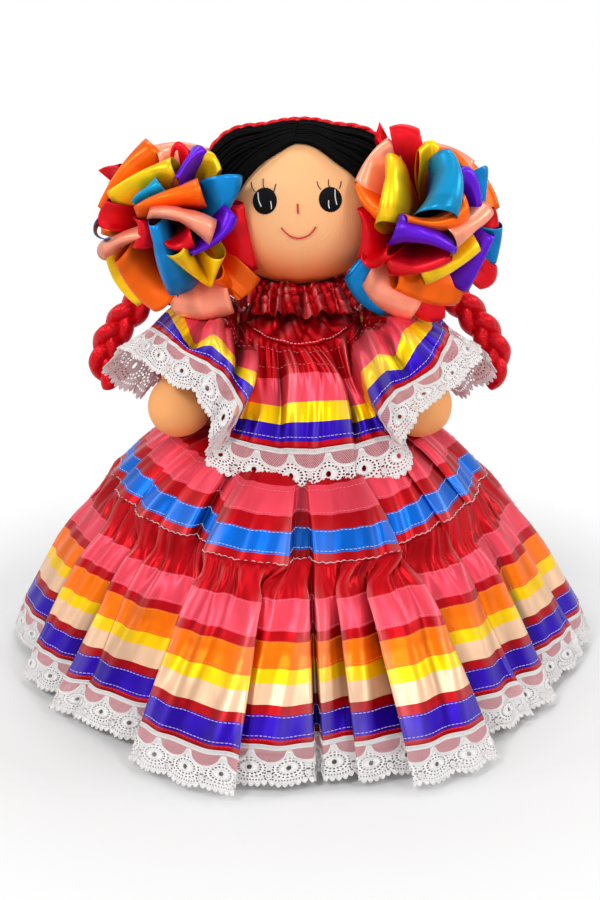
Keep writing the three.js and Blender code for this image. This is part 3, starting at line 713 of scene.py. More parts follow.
def back_panels(first, last, count, seed, depth):
    """Panels round the back: they turn their folds away from the front on both sides."""
    draw = np.random.default_rng(seed)
    edges = np.linspace(first, last, count + 1)
    edges[1:-1] += draw.uniform(-1.5, 1.5, count - 1)
    made = []
    for k in range(count):
        left, right = edges[k] + 0.6, edges[k + 1] - 0.6
        rise = draw.uniform(-2, 2)
        past_back = k >= count / 2
        outs = (rise - 1, rise - depth) if past_back else (rise - depth, rise - 1)
        top = "gap" if k == count // 2 - 1 else ("next" if past_back else "this")
        made.append((left, outs[0], right, outs[1], top))
    return made


def pleat_line(panels, base, tuck, depth, radius, count, soft):
    """Turns, plain turns, base offsets and fold offsets, once round the cloth."""
    scale = math.radians(1) * radius / mm
    total = len(panels)
    starts = [panels[k][0] for k in range(total)]
    points, owner = [], []
    for k, (left, left_out, right, right_out, top) in enumerate(panels):
        follow = panels[(k + 1) % total]
        lap = 360 if k == total - 1 else 0
        next_left, next_out = follow[0] + lap, follow[1]
        middle = ((left + right) / 2, (left_out + right_out) / 2 + 1.2)
        points += [(left, left_out), middle, (right, right_out)]
        owner += [k + 0.1, k + 0.5, k + 0.85]
        if top == "this":
            points.append((right - tuck, min(next_out, right_out - 5) - depth))
        elif top == "next":
            points.append((next_left + tuck, min(right_out, next_out - 5) - depth))
        else:
            gap = next_left - right
            points += [(right + 0.15 * gap, right_out - 3.5 * depth - 5),
                       (next_left - 0.15 * gap, next_out - 3.5 * depth - 5)]
            owner.append(k + 0.95)
        owner.append(k + 1.0)
    points, owner = np.array(points, float), np.array(owner)
    lap = np.array([360.0, 0])
    points = np.concatenate([points[-4:] - lap, points, points[:5] + lap])
    owner = np.concatenate([owner[-4:] - total, owner, owner[:5] + total])
    flat = points * np.array([scale, 1.0])
    length, step = lengths(flat), 0.25
    fine = np.arange(0, length[-1], step)
    place = resampled(fine, length, flat)
    kernel = bell(int(4 * soft / step), step, soft)
    place = np.stack([np.convolve(place[:, k], kernel, "same") for k in range(2)], axis=1)
    who = np.interp(fine, length, owner)
    bounds = np.array(
        [(panels[k - 1][2] - (360 if k == 0 else 0) + starts[k]) / 2 for k in range(total)]
    )
    bounds = np.concatenate([bounds[-1:] - 360, bounds, bounds[:2] + 360])
    start = np.interp(0, owner, length)
    end = np.interp(total, owner, length)
    keep = (fine >= start) & (fine < end)
    place, who, fine = place[keep], who[keep], fine[keep]
    spot = np.zeros(len(who))
    for k in range(total):
        inside = (who >= k) & (who < k + 1)
        low, high = fine[inside][0], fine[inside][-1]
        share = (fine[inside] - low) / (high - low)
        spot[inside] = mix(bounds[k + 1], bounds[k + 2], share)
    even = np.linspace(0, len(who) - 1, count + 1)[:-1]
    columns = np.stack([place[:, 0], place[:, 1], spot], axis=1)
    turn, offset, plain = resampled(even, np.arange(len(who)), columns).T
    turn = turn / scale
    ground = np.interp((turn + 180) % 360 - 180, *base)
    return turn, plain, ground, offset - ground


# %% Upper tier
upper_front = [
    (-94, 0, -84, -6, "next"), (-76, -2, -62, -8, "next"), (-60.5, -4, -47.5, -8, "next"),
    (-47, -7, -36.5, -10, "gap"), (-27.5, 1, -3, 3, "gap"), (4, 0, 28.5, 3, "this"),
    (32, -8, 46, -10, "next"), (48.5, -9, 61, -9, "next"), (63.5, -7, 80.5, -8, "this"),
    (83, -7, 94, 0, "this"),
]
upper_base = (
    [-180, -110, -90, -62, -47, -36, -27, -3, 4, 28, 34, 46, 61, 80, 95, 110, 180],
    [-3, -3, -4, -6, -7, -8, 0, 2, 0, 2, -8, -9, -8, -7, -3, -3, -3],
)
upper_columns, upper_rows = 760, 42
upper_panels = upper_front + back_panels(95.5, 264.5, 12, 9, 6)
upper_turn, upper_plain, upper_ground, upper_fold = pleat_line(
    upper_panels, upper_base, 2.6, 1.4, 140 * mm, upper_columns, 1.1
)


def upper_tier(down):
    """The upper tier's points at shares down, one row for each."""
    down = np.asarray(down)[:, None]
    angle = mix(upper_plain, upper_turn, smoothstep(0.1, 0.5, down))
    round_turn = upper_plain / 360
    gathers = waves(5, round_turn, [48, 66, 91], 0.7) * 1.0 * mm * np.clip(1 - down, 0, 1) ** 1.5
    drape = waves(6, round_turn + 0.02 * down, [41, 53, 67], 0.8) * 0.8 * mm
    fold = upper_fold * mm * np.clip(down, 0, 1) ** 0.6
    ground = upper_ground * mm * np.clip(down, 0, 1)
    return skirt_points(upper_outlines, angle, fold + ground + gathers + drape, down)


upper_reach = 0.126
upper_shares = np.linspace(0, 1.015, upper_rows)
upper_cloth = Cloth(
    upper_tier(upper_shares), down=upper_shares * (upper_reach / 1.015), closed=True
)
upper_bands = [
    (0.0, "red"), (upper_reach - 0.0645, "pink"), (upper_reach - 0.0385, "red"),
    (upper_reach - 0.0265, "blue"), (upper_reach - 0.0095, "red"),
]
skirt_upper = cloth_piece(
    "skirt_upper_cloth", upper_cloth, banded_satin("banded satin upper tier", upper_bands),
    satin_thick,
)
print("upper tier", round(upper_cloth.along[-1], 3), "m round")

# %% Lower tier
lower_columns, lower_rows, lace_rows = 1150, 42, 12
lace_width = 28 * mm
lower_panels = front_panels + back_panels(91.5, 265.5, 12, 4, 17)
lower_turn, lower_plain, lower_ground, lower_fold = pleat_line(
    lower_panels, lower_base, 3.6, 3.0, hem_radius, lower_columns, 1.3
)


seam_line = upper_tier([0.985])[0]
laps = np.concatenate([upper_plain[-3:] - 360, upper_plain, upper_plain[:3] + 360])
lower_seam = resampled(
    lower_plain, laps, np.concatenate([seam_line[-3:], seam_line, seam_line[:3]])
)


def lower_tier(down):
    """The lower tier's points at shares down, one row for each."""
    down = np.asarray(down)[:, None]
    angle = mix(lower_plain, lower_turn, smoothstep(0.0, 0.15, down))
    pull = 1 - 0.2 * (0.75 - down) * np.cos(np.radians(angle) / 2) ** 2
    angle = np.where(np.abs(angle) < 180, angle * pull, angle)
    round_turn = lower_plain / 360
    puckers = waves(3, round_turn, [61, 83, 109, 151, 197], 0.8) * 1.3 * mm
    wide_puckers = waves(17, round_turn, [37, 46], 0.8) * 1.6 * mm
    puckers = puckers + wide_puckers * smoothstep(0.05, 0.16, down)
    fade = smoothstep(0, 0.04, down) * np.exp(-((down / 0.16) ** 2))
    to_front = np.clip(np.cos(np.radians(lower_plain)), 0, 1)
    puff = mix(-1.5, 5.5, to_front) * mm * np.sin(math.pi * np.clip(down / 0.42, 0, 1)) ** 0.8
    puff = puff - 5.5 * mm * (1 - to_front) * np.sin(math.pi * np.clip(down / 0.8, 0, 1))
    drape = waves(8, round_turn + down * 0.012, [53, 71, 89], 0.8) * 0.9 * mm
    drape = drape * smoothstep(0.05, 0.3, down)
    fold = lower_fold * mm * np.clip(down / 0.72, 0, 1.05) ** 0.38
    ground = lower_ground * mm * np.clip(down / 0.75, 0, 1) ** 1.2
    out = fold + ground + puckers * fade + puff + drape
    points = skirt_points(lower_outlines, angle, out, down)
    sewn = lower_seam - skirt_points(lower_outlines, angle[:1], 0 * out[:1], np.zeros((1, 1)))
    return points + sewn * (1 - smoothstep(0, 0.1, down))[..., None]


lace_share = lace_width / lower_length
lower_shares = np.linspace(0.002, 1 - lace_share, lower_rows)
lower_cloth = Cloth(
    lower_tier(lower_shares), down=lower_shares * lower_length, closed=True
)
print("lower tier", round(lower_cloth.along[-1], 3), "m round")

lower_bands = [
    (0.0, "red"), (0.0235, "pink"), (0.0475, "red"), (0.0555, "orange"), (0.076, "yellow"),
    (0.0865, "cream"), (0.101, "deep_red"), (0.1075, "purple"), (0.124, "red"),
]
skirt_lower = cloth_piece(
    "skirt_lower_cloth", lower_cloth, banded_satin("banded satin lower tier", lower_bands),
    satin_thick,
)

# %% [markdown]
# ## Lace
# The trim is machine lace: a dense band along the top, net swags under it, an eyelet in a white
# oval once a repeat, and a scalloped edge with small picots. The openwork is far too fine to cut
# in a mesh, so the sheet's material is see-through by a pattern on its own distances. The heavy
# cords stand up from the sheet, so these are real thread that the node tree above lays along
# paths on the sheet.
# %% Lace pattern
# Sizes in mm; the oval round the eyelet is given by its half width and half height
lace_repeat, lace_half = 26.0, 13.0
eye_down, flower_down, oval = 15.6, 20.0, (7.4, 4.4)
edge_down, edge_rise, edge_power = 27.4, 2.8, 2.4
swag_top, swag_drop, swag_foot = 4.0, 7.4, 1.8
picots, picot_deep = 6, 1.7


def swag(x):
    """How far down the swag's cord is, in mm, x mm from an eyelet."""
    reach = np.clip((np.abs(x) - swag_foot) / (lace_half - swag_foot), 0, 1)
    return swag_top + swag_drop * np.sqrt(1 - (1 - reach) ** 2)


def scallop(x):
    """How far down the edge is, in mm, x mm from an eyelet."""
    return edge_down - edge_rise * (np.abs(x) / lace_half) ** edge_power


def lace_finish():
    finish = Finish("white lace", Roughness=0.8, Sheen_Weight=0.15)
    along, down = finish.cloth_place()
    y = down * 1000.0
    x = ((along * (1000.0 / lace_repeat)).fract() - 0.5) * lace_repeat
    near = x.away() / lace_half
    side = (1 - (x.away() - swag_foot) / (lace_half - swag_foot)).least(1.0)
    swag_line = (1 - side * side).most(0.0).root() * swag_drop + swag_top
    edge = edge_down - near.power(edge_power) * edge_rise
    hatch = [((x + y * s) / 1.45).fract().under(0.33) for s in (1.0, -1.0)]
    net = hatch[0].most(hatch[1])
    band = ((x + y * 2) / 1.1).fract().under(0.66).most(y.under(1.0))
    in_net = y.over(3.6) * y.under(swag_line)
    in_band = y.under(2.7)

    def round_place(dx, dy, wide=1.0, tall=1.0):
        """How far out and how far round a middle a point is, in an oval's own measure."""
        dx, dy = dx / wide, dy / tall
        return (dx * dx + dy * dy).root(), dy.math("ARCTAN2", dx)

    def ring_of_holes(reach, turn, inner, outer, count):
        steps = (turn * (count / (2 * math.pi))).fract()
        return reach.over(inner) * reach.under(outer) * steps.over(0.42)

    hole = round_place(x, y - eye_down)[0].under(1.7)
    round_eye = round_place(x, y - eye_down, *oval)
    below_swag = y.over(swag_line + 1.6)
    dashes = ring_of_holes(*round_eye, 0.9, 1.12, 18)
    outer_dashes = ring_of_holes(*round_eye, 1.32, 1.5, 22) * below_swag
    flower = round_place(x.away() - lace_half, y - flower_down)
    petals = ring_of_holes(*flower, 2.3, 3.3, 8)
    from_edge = edge - y
    row = from_edge.over(3.0) * from_edge.under(4.0) * (x / 1.9).fract().over(0.45)
    mesh = ((x + y * 1.7) / 1.5).fract().under(0.42) * ((x - y * 1.7) / 1.5).fract().under(0.55)
    mesh = mesh * round_eye[0].over(math.sqrt(2.4)) * below_swag * from_edge.over(4.4)
    holes = hole.most(dashes).most(outer_dashes).most(petals).most(row).most(mesh)
    solid = (1 - holes) * (1 - in_net) * (1 - in_band) + in_net * net + in_band * band
    teeth = (x * (picots * math.pi / lace_repeat)).sine().away()
    finish.feed("Alpha", solid * y.under(edge + (teeth - 1) * picot_deep))
    ribs = (along * 7200.0).sine() * 0.3 + (down * 6200.0).sine() * 0.3
    cloudy = finish.noise(finish.vector(along, down, 0.0), 160.0)
    colour = finish.mixed(cloudy * 0.5, srgb(255, 253, 252), srgb(244, 239, 238))
    # Painted reflection: the net of the swags is tinted pink, standing in for the light of the red
    # satin round it.
    finish.feed("Base Color", finish.mixed(in_net * 0.8, colour, srgb(236, 146, 156)))
    finish.bump(ribs + cloudy, 0.0002, 0.6)
    return finish.material


white_lace = lace_finish()
lace_thread = thread_finish("white lace thread", srgb(253, 250, 248), 0.75)


def lace_paths(cloth, lift):
    """The raised cords of the lace, as paths laid on a lace cloth."""
    length = cloth.along[-1] / mm
    count = int(round(length / lace_repeat))
    paths, rounds = [], []

    def lay(x, y, into):
        into.append(cloth.at(np.asarray(x) * mm, np.asarray(y) * mm, lift))

    full = np.linspace(0, length * 0.9999, count * 10 + 1)
    for y in (0.7, 2.9):
        lay(full, full * 0 + y, paths)
    dense = np.linspace(0, length * 0.9999, count * 16 + 1)
    centre = (dense / lace_repeat % 1 - 0.5) * lace_repeat
    for drop in (0.2, 1.5):
        lay(dense, swag(centre) + drop, paths)
    lay(dense, scallop(centre) - 2.3, paths)
    fine = np.linspace(0, length * 0.9999, count * 52 + 1)
    at_fine = (fine / lace_repeat % 1 - 0.5) * lace_repeat
    loops = np.abs(np.sin(math.pi * fine * picots / lace_repeat))
    lay(fine, scallop(at_fine) + 0.5 - (picot_deep + 0.7) * (1 - loops), paths)
    around = np.linspace(0, 2 * math.pi, 15)[:-1]
    few = around[::2]
    for k in range(count):
        middle = (k + 0.5) * lace_repeat
        lay(middle + 6.0 * np.cos(around), eye_down + 3.2 * np.sin(around), rounds)
        lay(middle + 2.3 * np.cos(few), eye_down + 2.1 * np.sin(few), rounds)
        if k:
            lay(middle - lace_half + 2.0 * np.cos(few), flower_down + 2.0 * np.sin(few), rounds)
    return paths, rounds


def lace_trim(name, cloth):
    """A lace sheet and the cords that stand on it."""
    sheet = cloth_piece(name + "_net", cloth, white_lace, 0.35 * mm)
    paths, rounds = lace_paths(cloth, 0.45 * mm)
    cords = thread(name + "_cords", paths, 0.42 * mm, lace_thread, sides=4)
    rings = thread(name + "_rings", rounds, 0.5 * mm, lace_thread, sides=4, closed=True)
    return sheet, cords, rings


def whole_repeats(along):
    """Distances along a lace, stretched a little so that whole repeats fit."""
    count = max(1, round(along[-1] / (lace_repeat * mm)))
    return along * (count * lace_repeat * mm / along[-1])


def lace_cloth(points, depth, **how):
    """A lace of a given depth on points, with whole repeats along it."""
    along = whole_repeats(Cloth(points, closed=how.get("closed", False)).along)
    return Cloth(points, along=along, down=np.linspace(0, depth, len(points)), **how)


# %% Hem lace
lace_rows_down = 1 - lace_share + np.linspace(-0.0035, lace_share, lace_rows)
hem_cloth = lace_cloth(lower_tier(lace_rows_down), lace_width, closed=True)
lace_hem_pieces = lace_trim("lace_hem", hem_cloth)
print("hem lace", round(hem_cloth.along[-1] / (lace_repeat * mm)), "repeats")

# %% Stitch lines of the skirt
thread_lift = 0.45 * mm
sewing_thread = {"white": white_thread}
for name, colour in {
    "pink": srgb(250, 120, 140), "orange": srgb(255, 150, 40), "red": srgb(225, 40, 50),
}.items():
    sewing_thread[name] = thread_finish(name + " sewing thread", colour)


def lines_at(cloth, distances, lift=thread_lift):
    """Lines along a cloth at distances down it."""
    along = np.arange(0, cloth.along[-1], 2.5 * mm)
    return [cloth.at(along, np.full(len(along), d), lift) for d in distances]


def seams(cloth, table):
    """Lines of stitches on a cloth; each row is the piece, the thread and the distances down."""
    return [
        stitches(name, lines_at(cloth, distances), sewing_thread[colour])
        for name, colour, distances in table
    ]


lower_seams = seams(lower_cloth, [
    ("skirt_lower_stitches", "white", [0.1090, 0.1225]),
    ("skirt_lower_orange_stitches", "orange", [0.0568, 0.0748]),
    ("skirt_lower_pink_stitches", "pink", [0.0248, 0.0462]),
    ("skirt_lower_red_stitches", "red", [0.1252]),
])
upper_seams = seams(upper_cloth, [
    ("skirt_upper_stitches", "white", [upper_reach - 0.0252, upper_reach - 0.0108]),
    ("skirt_upper_pink_stitches", "pink", [upper_reach - 0.0592, upper_reach - 0.0398]),
])
zigzag_down, zigzag_half, zigzag_pitch = upper_reach - 0.0022, 1.1 * mm, 3.4 * mm
seam_along = np.arange(0, upper_cloth.along[-1], zigzag_pitch / 2)
seam_side = np.where(np.arange(len(seam_along)) % 2, 1.0, -1.0)
seam_path = upper_cloth.at(seam_along, zigzag_down + zigzag_half * seam_side, thread_lift)
tier_seam = thread("tier_seam_zigzag", [seam_path], 0.28 * mm, white_thread, sides=4)
print("skirt stitched")

# %% [markdown]
# ## Blouse ruffle
# The blouse is one wide banded ruffle sewn round the yoke and over both arms. Its folds follow no
# rule, so each part is lofted through stations: a station is one line down the ruffle, given at
# five shares of its length. In front, the stations are picture points with a depth, so the folds
# lie where the picture shows them. The back of the sleeves is laid out in millimetres, and the
# bib at the back is the one in front, turned round. Between stations the cloth is nearly flat,
# and the corners are rounded a little, as satin folds.
# %% Ruffle through stations
shoulder_top = 268 * mm
ruffle_length, ruffle_lace = 100 * mm, 28 * mm
station_shares = np.array([0, 0.2, 0.42, 0.72, 1.0])


def yoke_seam(turn):
    """The seam between the yoke and the ruffle, at turns in degrees from the front."""
    a = np.radians(turn)
    dip = mix(17 * mm, 6 * mm, np.sin(a) ** 2)
    return turned(1, a, shoulder_top - dip) * (43.2 * mm, 48 * mm, 1)


def pictured(px, py, y):
    """A point in metres from a pixel of the picture and its depth in millimetres."""
    return at_pixel(px, py, y * mm)


def stations(text, seam, place):
    """Stations from rows of a turn, which places the seam, and four spots of three numbers."""
    return [
        [seam(row[0])] + [place(*spot) for spot in row[1:].reshape(4, 3)] for row in table(text)
    ]


def lofted(stations, count, soft, seed):
    """A function that gives the ruffle's points at shares down, all rows x columns."""
    grid = np.array(stations)
    length, step = lengths(grid[:, 2:].mean(axis=1)), 0.4
    fine = np.arange(0, length[-1], step * mm)
    dense = np.stack([resampled(fine, length, grid[:, r]).T for r in range(5)])
    reach = int(3 * soft / step)
    kernel = bell(reach, step, soft)
    padded = np.concatenate(
        [2 * dense[..., :1] - dense[..., reach:0:-1], dense,
         2 * dense[..., -1:] - dense[..., -2:-reach - 2:-1]], axis=-1)
    soft_rows = np.apply_along_axis(lambda line: np.convolve(line, kernel, "valid"), -1, padded)
    pick = np.linspace(0, soft_rows.shape[-1] - 1, count)
    index = np.arange(soft_rows.shape[-1])
    rows = np.array([resampled(pick, index, row.T) for row in soft_rows])
    slopes = np.gradient(rows, station_shares, axis=0)
    share_along = np.linspace(0, 1, count)

    def points(down):
        down = np.asarray(down, float)
        k = np.clip(np.searchsorted(station_shares, down) - 1, 0, 3)
        span = (station_shares[k + 1] - station_shares[k])[:, None, None]
        t = (down - station_shares[k])[:, None, None] / span
        p = hermite(t, rows[k], span * slopes[k], rows[k + 1], span * slopes[k + 1])
        across = unit(np.gradient(p, axis=1))
        along_down = unit(np.gradient(p, axis=0)) if len(down) > 2 else np.array([0, 0, -1.0])
        face = unit(np.cross(across, along_down))
        turns_along = share_along[None] * length[-1] / 0.4
        gather = waves(seed, turns_along, [23, 31, 43, 57], 0.8)
        fade = smoothstep(0, 0.05, down) * np.exp(-((down / 0.22) ** 2))
        drape = waves(seed + 1, turns_along, [27, 34], 0.8)
        drape = drape * smoothstep(0.2, 0.6, down)[:, None] * 0.5 * mm
        return p + face * (gather * fade[:, None] * mm + drape)[..., None]

    return points


# %% Bib in front and at the back
# Turn in degrees, then x and y in the picture and depth in mm of four spots down the ruffle
bib_stations = """
 -80   238 352 -34  232 392 -46  221 428 -58  208 455 -60
 -62   247 370 -47  241 402 -58  229 437 -68  205 465 -68
 -44   258 377 -56  259 405 -66  250 443 -76  240 487 -79
 -18   283 378 -57  284 409 -67  282 449 -79  283 500 -85
 -19   286 373 -61  285 405 -71  284 448 -81  285 500 -87
   0   315 371 -61  316 403 -72  314 449 -84  314 499 -90
  17   341 373 -60  350 402 -70  354 443 -80  357 493 -86
  16   339 378 -53  347 409 -62  353 445 -76  358 493 -83
  44   351 377 -53  366 405 -61  377 437 -72  392 485 -77
  62   353 370 -46  369 399 -56  392 435 -67  414 467 -67
  80   362 352 -34  377 392 -46  398 427 -58  412 457 -60
"""
bib_front = stations(bib_stations, yoke_seam, pictured)
turned_round = np.array([-1, -1, 1])
bib_points = lofted(bib_front, 260, 1.8, 11)
bib_back_points = lofted(np.array(bib_front) * turned_round, 260, 2.4, 31)

ruffle_bands = [
    (0.0, "red"), (0.0205, "pink"), (0.0405, "yellow"), (0.0545, "purple"), (0.0675, "red"),
]
ruffle_satin = banded_satin("banded satin ruffle", ruffle_bands)
ruffle_rows = np.linspace(0.004, 1 - ruffle_lace / ruffle_length, 34)
ruffle_lace_rows = np.linspace(1 - ruffle_lace / ruffle_length - 0.004, 1, lace_rows)


def ruffle_set(name, points_at, outwards=1):
    """A banded ruffle with its lace, its stitch lines and its gathering rows."""
    cloth = Cloth(points_at(ruffle_rows), down=ruffle_rows * ruffle_length, outwards=outwards)
    sheet = cloth_piece(name + "_cloth", cloth, ruffle_satin, satin_thick)
    edge = lace_cloth(points_at(ruffle_lace_rows), ruffle_lace, outwards=outwards)
    trims = lace_trim(name + "_lace", edge)
    sewn = seams(cloth, [(name + "_stitches", "white", [0.0650])])
    gathering = stitches(
        name + "_gathering", lines_at(cloth, [0.0055, 0.0145]), sewing_thread["pink"],
        spacing=3.6 * mm, length=2.6 * mm,
    )
    return cloth, edge, sheet, trims, [*sewn, gathering]


bib = ruffle_set("ruffle_front", bib_points)
bib_back = ruffle_set("ruffle_back", bib_back_points)
print("bib", round(bib[0].area() * 1e4), "cm2 of satin")

# %% Sleeve ruffles
sleeve_inner = 44.5 * mm


def arm_seam(side, turn):
    """The seam over the arm, at turns in degrees from the side towards the back."""
    ahead = math.sin(math.radians(turn))
    dip = mix(0.5 * mm, 17 * mm, ahead**2)
    return np.array([side * sleeve_inner, 36 * mm * ahead, shoulder_top - dip])


# From the ridge over the arm to the back: turn in degrees, then x, y and z in mm of four spots
sleeve_back = """
   0    66   0 273   86   0 268  107   0 251  133   0 236
  15    66  14 272   88  18 266  115  17 241  149  12 210
  30    64  26 270   82  34 256  100  42 226  124  34 184
  45    60  37 268   76  52 255   84  64 232  102  66 194
  60    55  46 262   66  62 244   66  72 222   74  80 194
  75    50  50 256   56  72 243   54  84 221   62  92 194
  82    42  52 255   40  72 238   41  87 217   58  84 189
  88    41  44 247   42  60 226   54  70 190   70  68 172
"""
# From the front to the ridge over the arm: turn, then x and y in the picture and depth in mm
sleeve_front = {
    "left": """
 -88   247 366 -46  243 400 -60  225 441 -69  204 457 -67
 -84   257 350 -60  258 374 -80  244 405 -89  208 441 -82
 -78   236 350 -58  236 367 -76  233 387 -84  211 426 -80
 -70   231 332 -62  233 355 -81  225 374 -87  206 416 -82
 -50   219 318 -54  214 334 -76  206 361 -80  195 394 -76
 -35   206 322 -42  194 347 -62  186 352 -68  172 386 -64
 -18   203 306 -26  183 318 -42  165 335 -48  146 366 -46
    """,
    "right": """
 -88   352 366 -46  366 400 -60  393 438 -69  413 455 -67
 -84   353 345 -62  361 374 -82  377 412 -89  402 446 -81
 -66   366 330 -66  380 355 -86  393 391 -88  417 421 -82
 -50   380 330 -54  396 359 -70  412 382 -76  432 404 -72
 -34   388 318 -42  404 332 -62  434 368 -68  456 388 -62
 -18   396 304 -26  419 322 -42  450 336 -46  482 361 -42
    """,
}
sleeves = {}
for name, side in sides.items():
    seam = functools.partial(arm_seam, side)
    front = stations(sleeve_front[name], seam, pictured)
    back = stations(sleeve_back, seam, lambda x, y, z: np.array([side * x, y, z]) * mm)
    points_at = lofted(front + back, 330, 2.2, 13 + side)
    sleeves[name] = ruffle_set("ruffle_sleeve_" + name, points_at, side)
print("sleeve ruffles", [round(s[0].area() * 1e4) for s in sleeves.values()], "cm2")

# %% [markdown]
# ## Yoke and neck frill
# The yoke is plain red satin drawn smooth over the shoulders. The frill is a doubled strip that
# was gathered tightly, so it crinkles: many small folds of mixed widths that grow to the edge.
# %% Plain red satin


def plain_satin(name, colour, shine=0.36):
    """Satin of one colour."""
    finish = Finish(name, Roughness=shine, Metallic=0.5, Specular_IOR_Level=0.15)
    return satin_sheen(finish, colour, 0.0, shine, 1.0)


red_satin = plain_satin("red satin", satin_colours["red"])

# %% Yoke
turns = np.linspace(0, 360, 241)[:-1]
a = np.radians(turns)


def ring(radius_x, radius_y, z):
    """A level oval round the upright axis."""
    return turned(1, a, z) * (radius_x, radius_y, 1)


yoke_rows = [ring(15.3 * mm, 15.3 * mm, 269.3 * mm), ring(24 * mm, 24 * mm, 268.8 * mm)]
seam_row = yoke_seam(turns)
for share in np.linspace(0.08, 1, 20):
    swell = 2.4 * mm * math.sin(math.pi * share)
    crumple = waves(2, turns[None] / 360 + 0.05 * share, [11, 17, 23])[0] * 1.5 * mm
    crumple += waves(4, turns[None] / 360 - 0.09 * share, [29, 41])[0] * 0.6 * mm
    row = mix(yoke_rows[1], seam_row, share)
    row[:, 2] += swell + crumple * (share * (1 - share) * 4) ** 0.6
    yoke_rows.append(row)
yoke_cloth = Cloth(np.array(yoke_rows), closed=True)
yoke = cloth_piece("yoke_cloth", yoke_cloth, red_satin, 0.7 * mm)
# A lining under the ruffle closes the armholes between the yoke and the sleeves
lining_rows = [
    seam_row - [0, 0, 1 * mm], ring(45 * mm, 40 * mm, 244 * mm), ring(43 * mm, 36 * mm, 226 * mm)
]
lining_cloth = Cloth(np.array(lining_rows), closed=True)
lining = cloth_piece("yoke_lining", lining_cloth, red_satin, 0.6 * mm)
seam_thread_line = lines_at(yoke_cloth, [yoke_cloth.down[-1] - 0.0012], 0.5 * mm)[0]
near_middle = np.abs(seam_thread_line[:, 0]) < 33 * mm
seam_ahead = near_middle & (seam_thread_line[:, 1] < 0)
half_round = len(seam_thread_line) // 2
yoke_thread = stitches(
    "yoke_seam_stitches",
    [np.roll(seam_thread_line, half_round, axis=0)[np.roll(seam_ahead, half_round)],
     seam_thread_line[near_middle & ~seam_ahead]],
    white_thread, spacing=2.6 * mm, length=2.1 * mm, radius=0.25 * mm,
)

# %% Neck frill
frill_columns, frill_rows = 560, 26
frill_turn = np.linspace(0, 1, frill_columns + 1)[:-1][None]
frill_down = np.linspace(0, 1, frill_rows)[:, None]
profile = smooth_line(
    [(18.5 * mm, 277 * mm), (23 * mm, 283.5 * mm), (29 * mm, 288.5 * mm), (35 * mm, 289 * mm),
     (39.5 * mm, 285 * mm), (42.5 * mm, 278.5 * mm), (45 * mm, 270.5 * mm)], frill_rows,
)
big = waves(21, frill_turn + 0.02 * frill_down, [9, 13, 17], 0.8)
small = waves(22, frill_turn - 0.03 * frill_down, [27, 38, 53], 0.8)
cross = waves(26, frill_turn + 0.5 * frill_down, [11, 19], 0.8) * np.sin(math.pi * frill_down)
frill_out = (frill_down**1.2 * (2.2 * big + 1.2 * small) + 0.9 * cross) * mm
frill_up = (frill_down * (waves(23, frill_turn, [8, 15, 19]) * 2.4 + small * 1.6) + cross) * mm
radius = profile[:, :1] + frill_out
around = 2 * math.pi * (frill_turn + frill_down * 0.008 * waves(24, frill_turn, [12, 21]))
above_yoke = (269.8 + 0.06 * (radius / mm - 44)) * mm
frill_points = turned(radius, around, np.maximum(profile[:, 1:] + frill_up, above_yoke))
frill_cloth = Cloth(frill_points, closed=True)
collar_frill = cloth_piece("collar_frill_cloth", frill_cloth, red_satin, 0.7 * mm)
print("yoke and frill made")

# %% [markdown]
# ## Head
# The head is a ball of peach knit, stuffed hard, so it is a smooth ellipsoid with very soft
# dents. Low on the cheeks and towards its sides it gets painted shade, a deeper orange, where
# the cloth turns away from the light.
# %% Head shape
head_middle = np.array([0, 0, 340.5 * mm])
head_radii = np.array([61.5, 56.0, 55.5]) * mm


def on_head(direction, lift=0.0):
    """The point of the head in a direction from its middle, lifted off the face."""
    d = unit(direction)
    p = d / np.linalg.norm(d / head_radii, axis=-1, keepdims=True)
    normal = unit(p / head_radii**2)
    return head_middle + p + normal * np.asarray(lift)[..., None]


def hair_bulk(directions):
    """How far the hair stands off the head: it is fullest above the bows."""
    d = unit(directions)
    over = smoothstep(0.35, 0.8, np.abs(d[..., 0])) * smoothstep(-0.25, 0.4, d[..., 2])
    from_front = smoothstep(-0.75, -0.25, d[..., 1])
    return 9 * mm * over * from_front * (1 - smoothstep(0.3, 0.8, d[..., 1]))


def toward(turn, rise):
    """A direction from its turn round the head and its rise, in degrees, 0, 0 at the front."""
    turn, rise = np.radians(turn), np.radians(rise)
    return turned(np.cos(rise), turn, np.sin(rise))


def face_pixel(px, py, lift=0.0):
    """The point of the head seen at a pixel of the photograph."""
    ray = unit(at_pixel(px, py, 0.0) - camera_place)
    start, step = (camera_place - head_middle) / head_radii, ray / head_radii
    b, c = np.dot(start, step), np.dot(start, start) - 1
    reach = (-b - math.sqrt(max(b * b - np.dot(step, step) * c, 0))) / np.dot(step, step)
    return on_head(camera_place + ray * reach - head_middle, lift)


def ball_mesh(name, middle, radii, segments, rings):
    """A closed ball with soft dents."""
    rise = np.radians(np.linspace(-90, 90, rings + 1))[1:-1]
    turn = np.linspace(0, 2 * math.pi, segments + 1)[:-1]
    r, t = np.meshgrid(rise, turn, indexing="ij")
    points = np.stack([np.cos(r) * np.cos(t), np.cos(r) * np.sin(t), np.sin(r)], -1)
    points = np.concatenate([points.reshape(-1, 3), [[0, 0, -1], [0, 0, 1]]])
    dents = waves(31, points[:, 0] * 0.4 + points[:, 2] * 0.3, [1, 2, 3]) * 0.25 * mm
    dents += waves(32, points[:, 1] * 0.5 - points[:, 0] * 0.2, [1, 2, 3]) * 0.25 * mm
    faces = closed_faces(len(rise), segments)
    return new_mesh(name, middle + points * (radii + dents[:, None]), faces)


# Loops of the knit, in radians to the metre
knit_loops = 5200.0


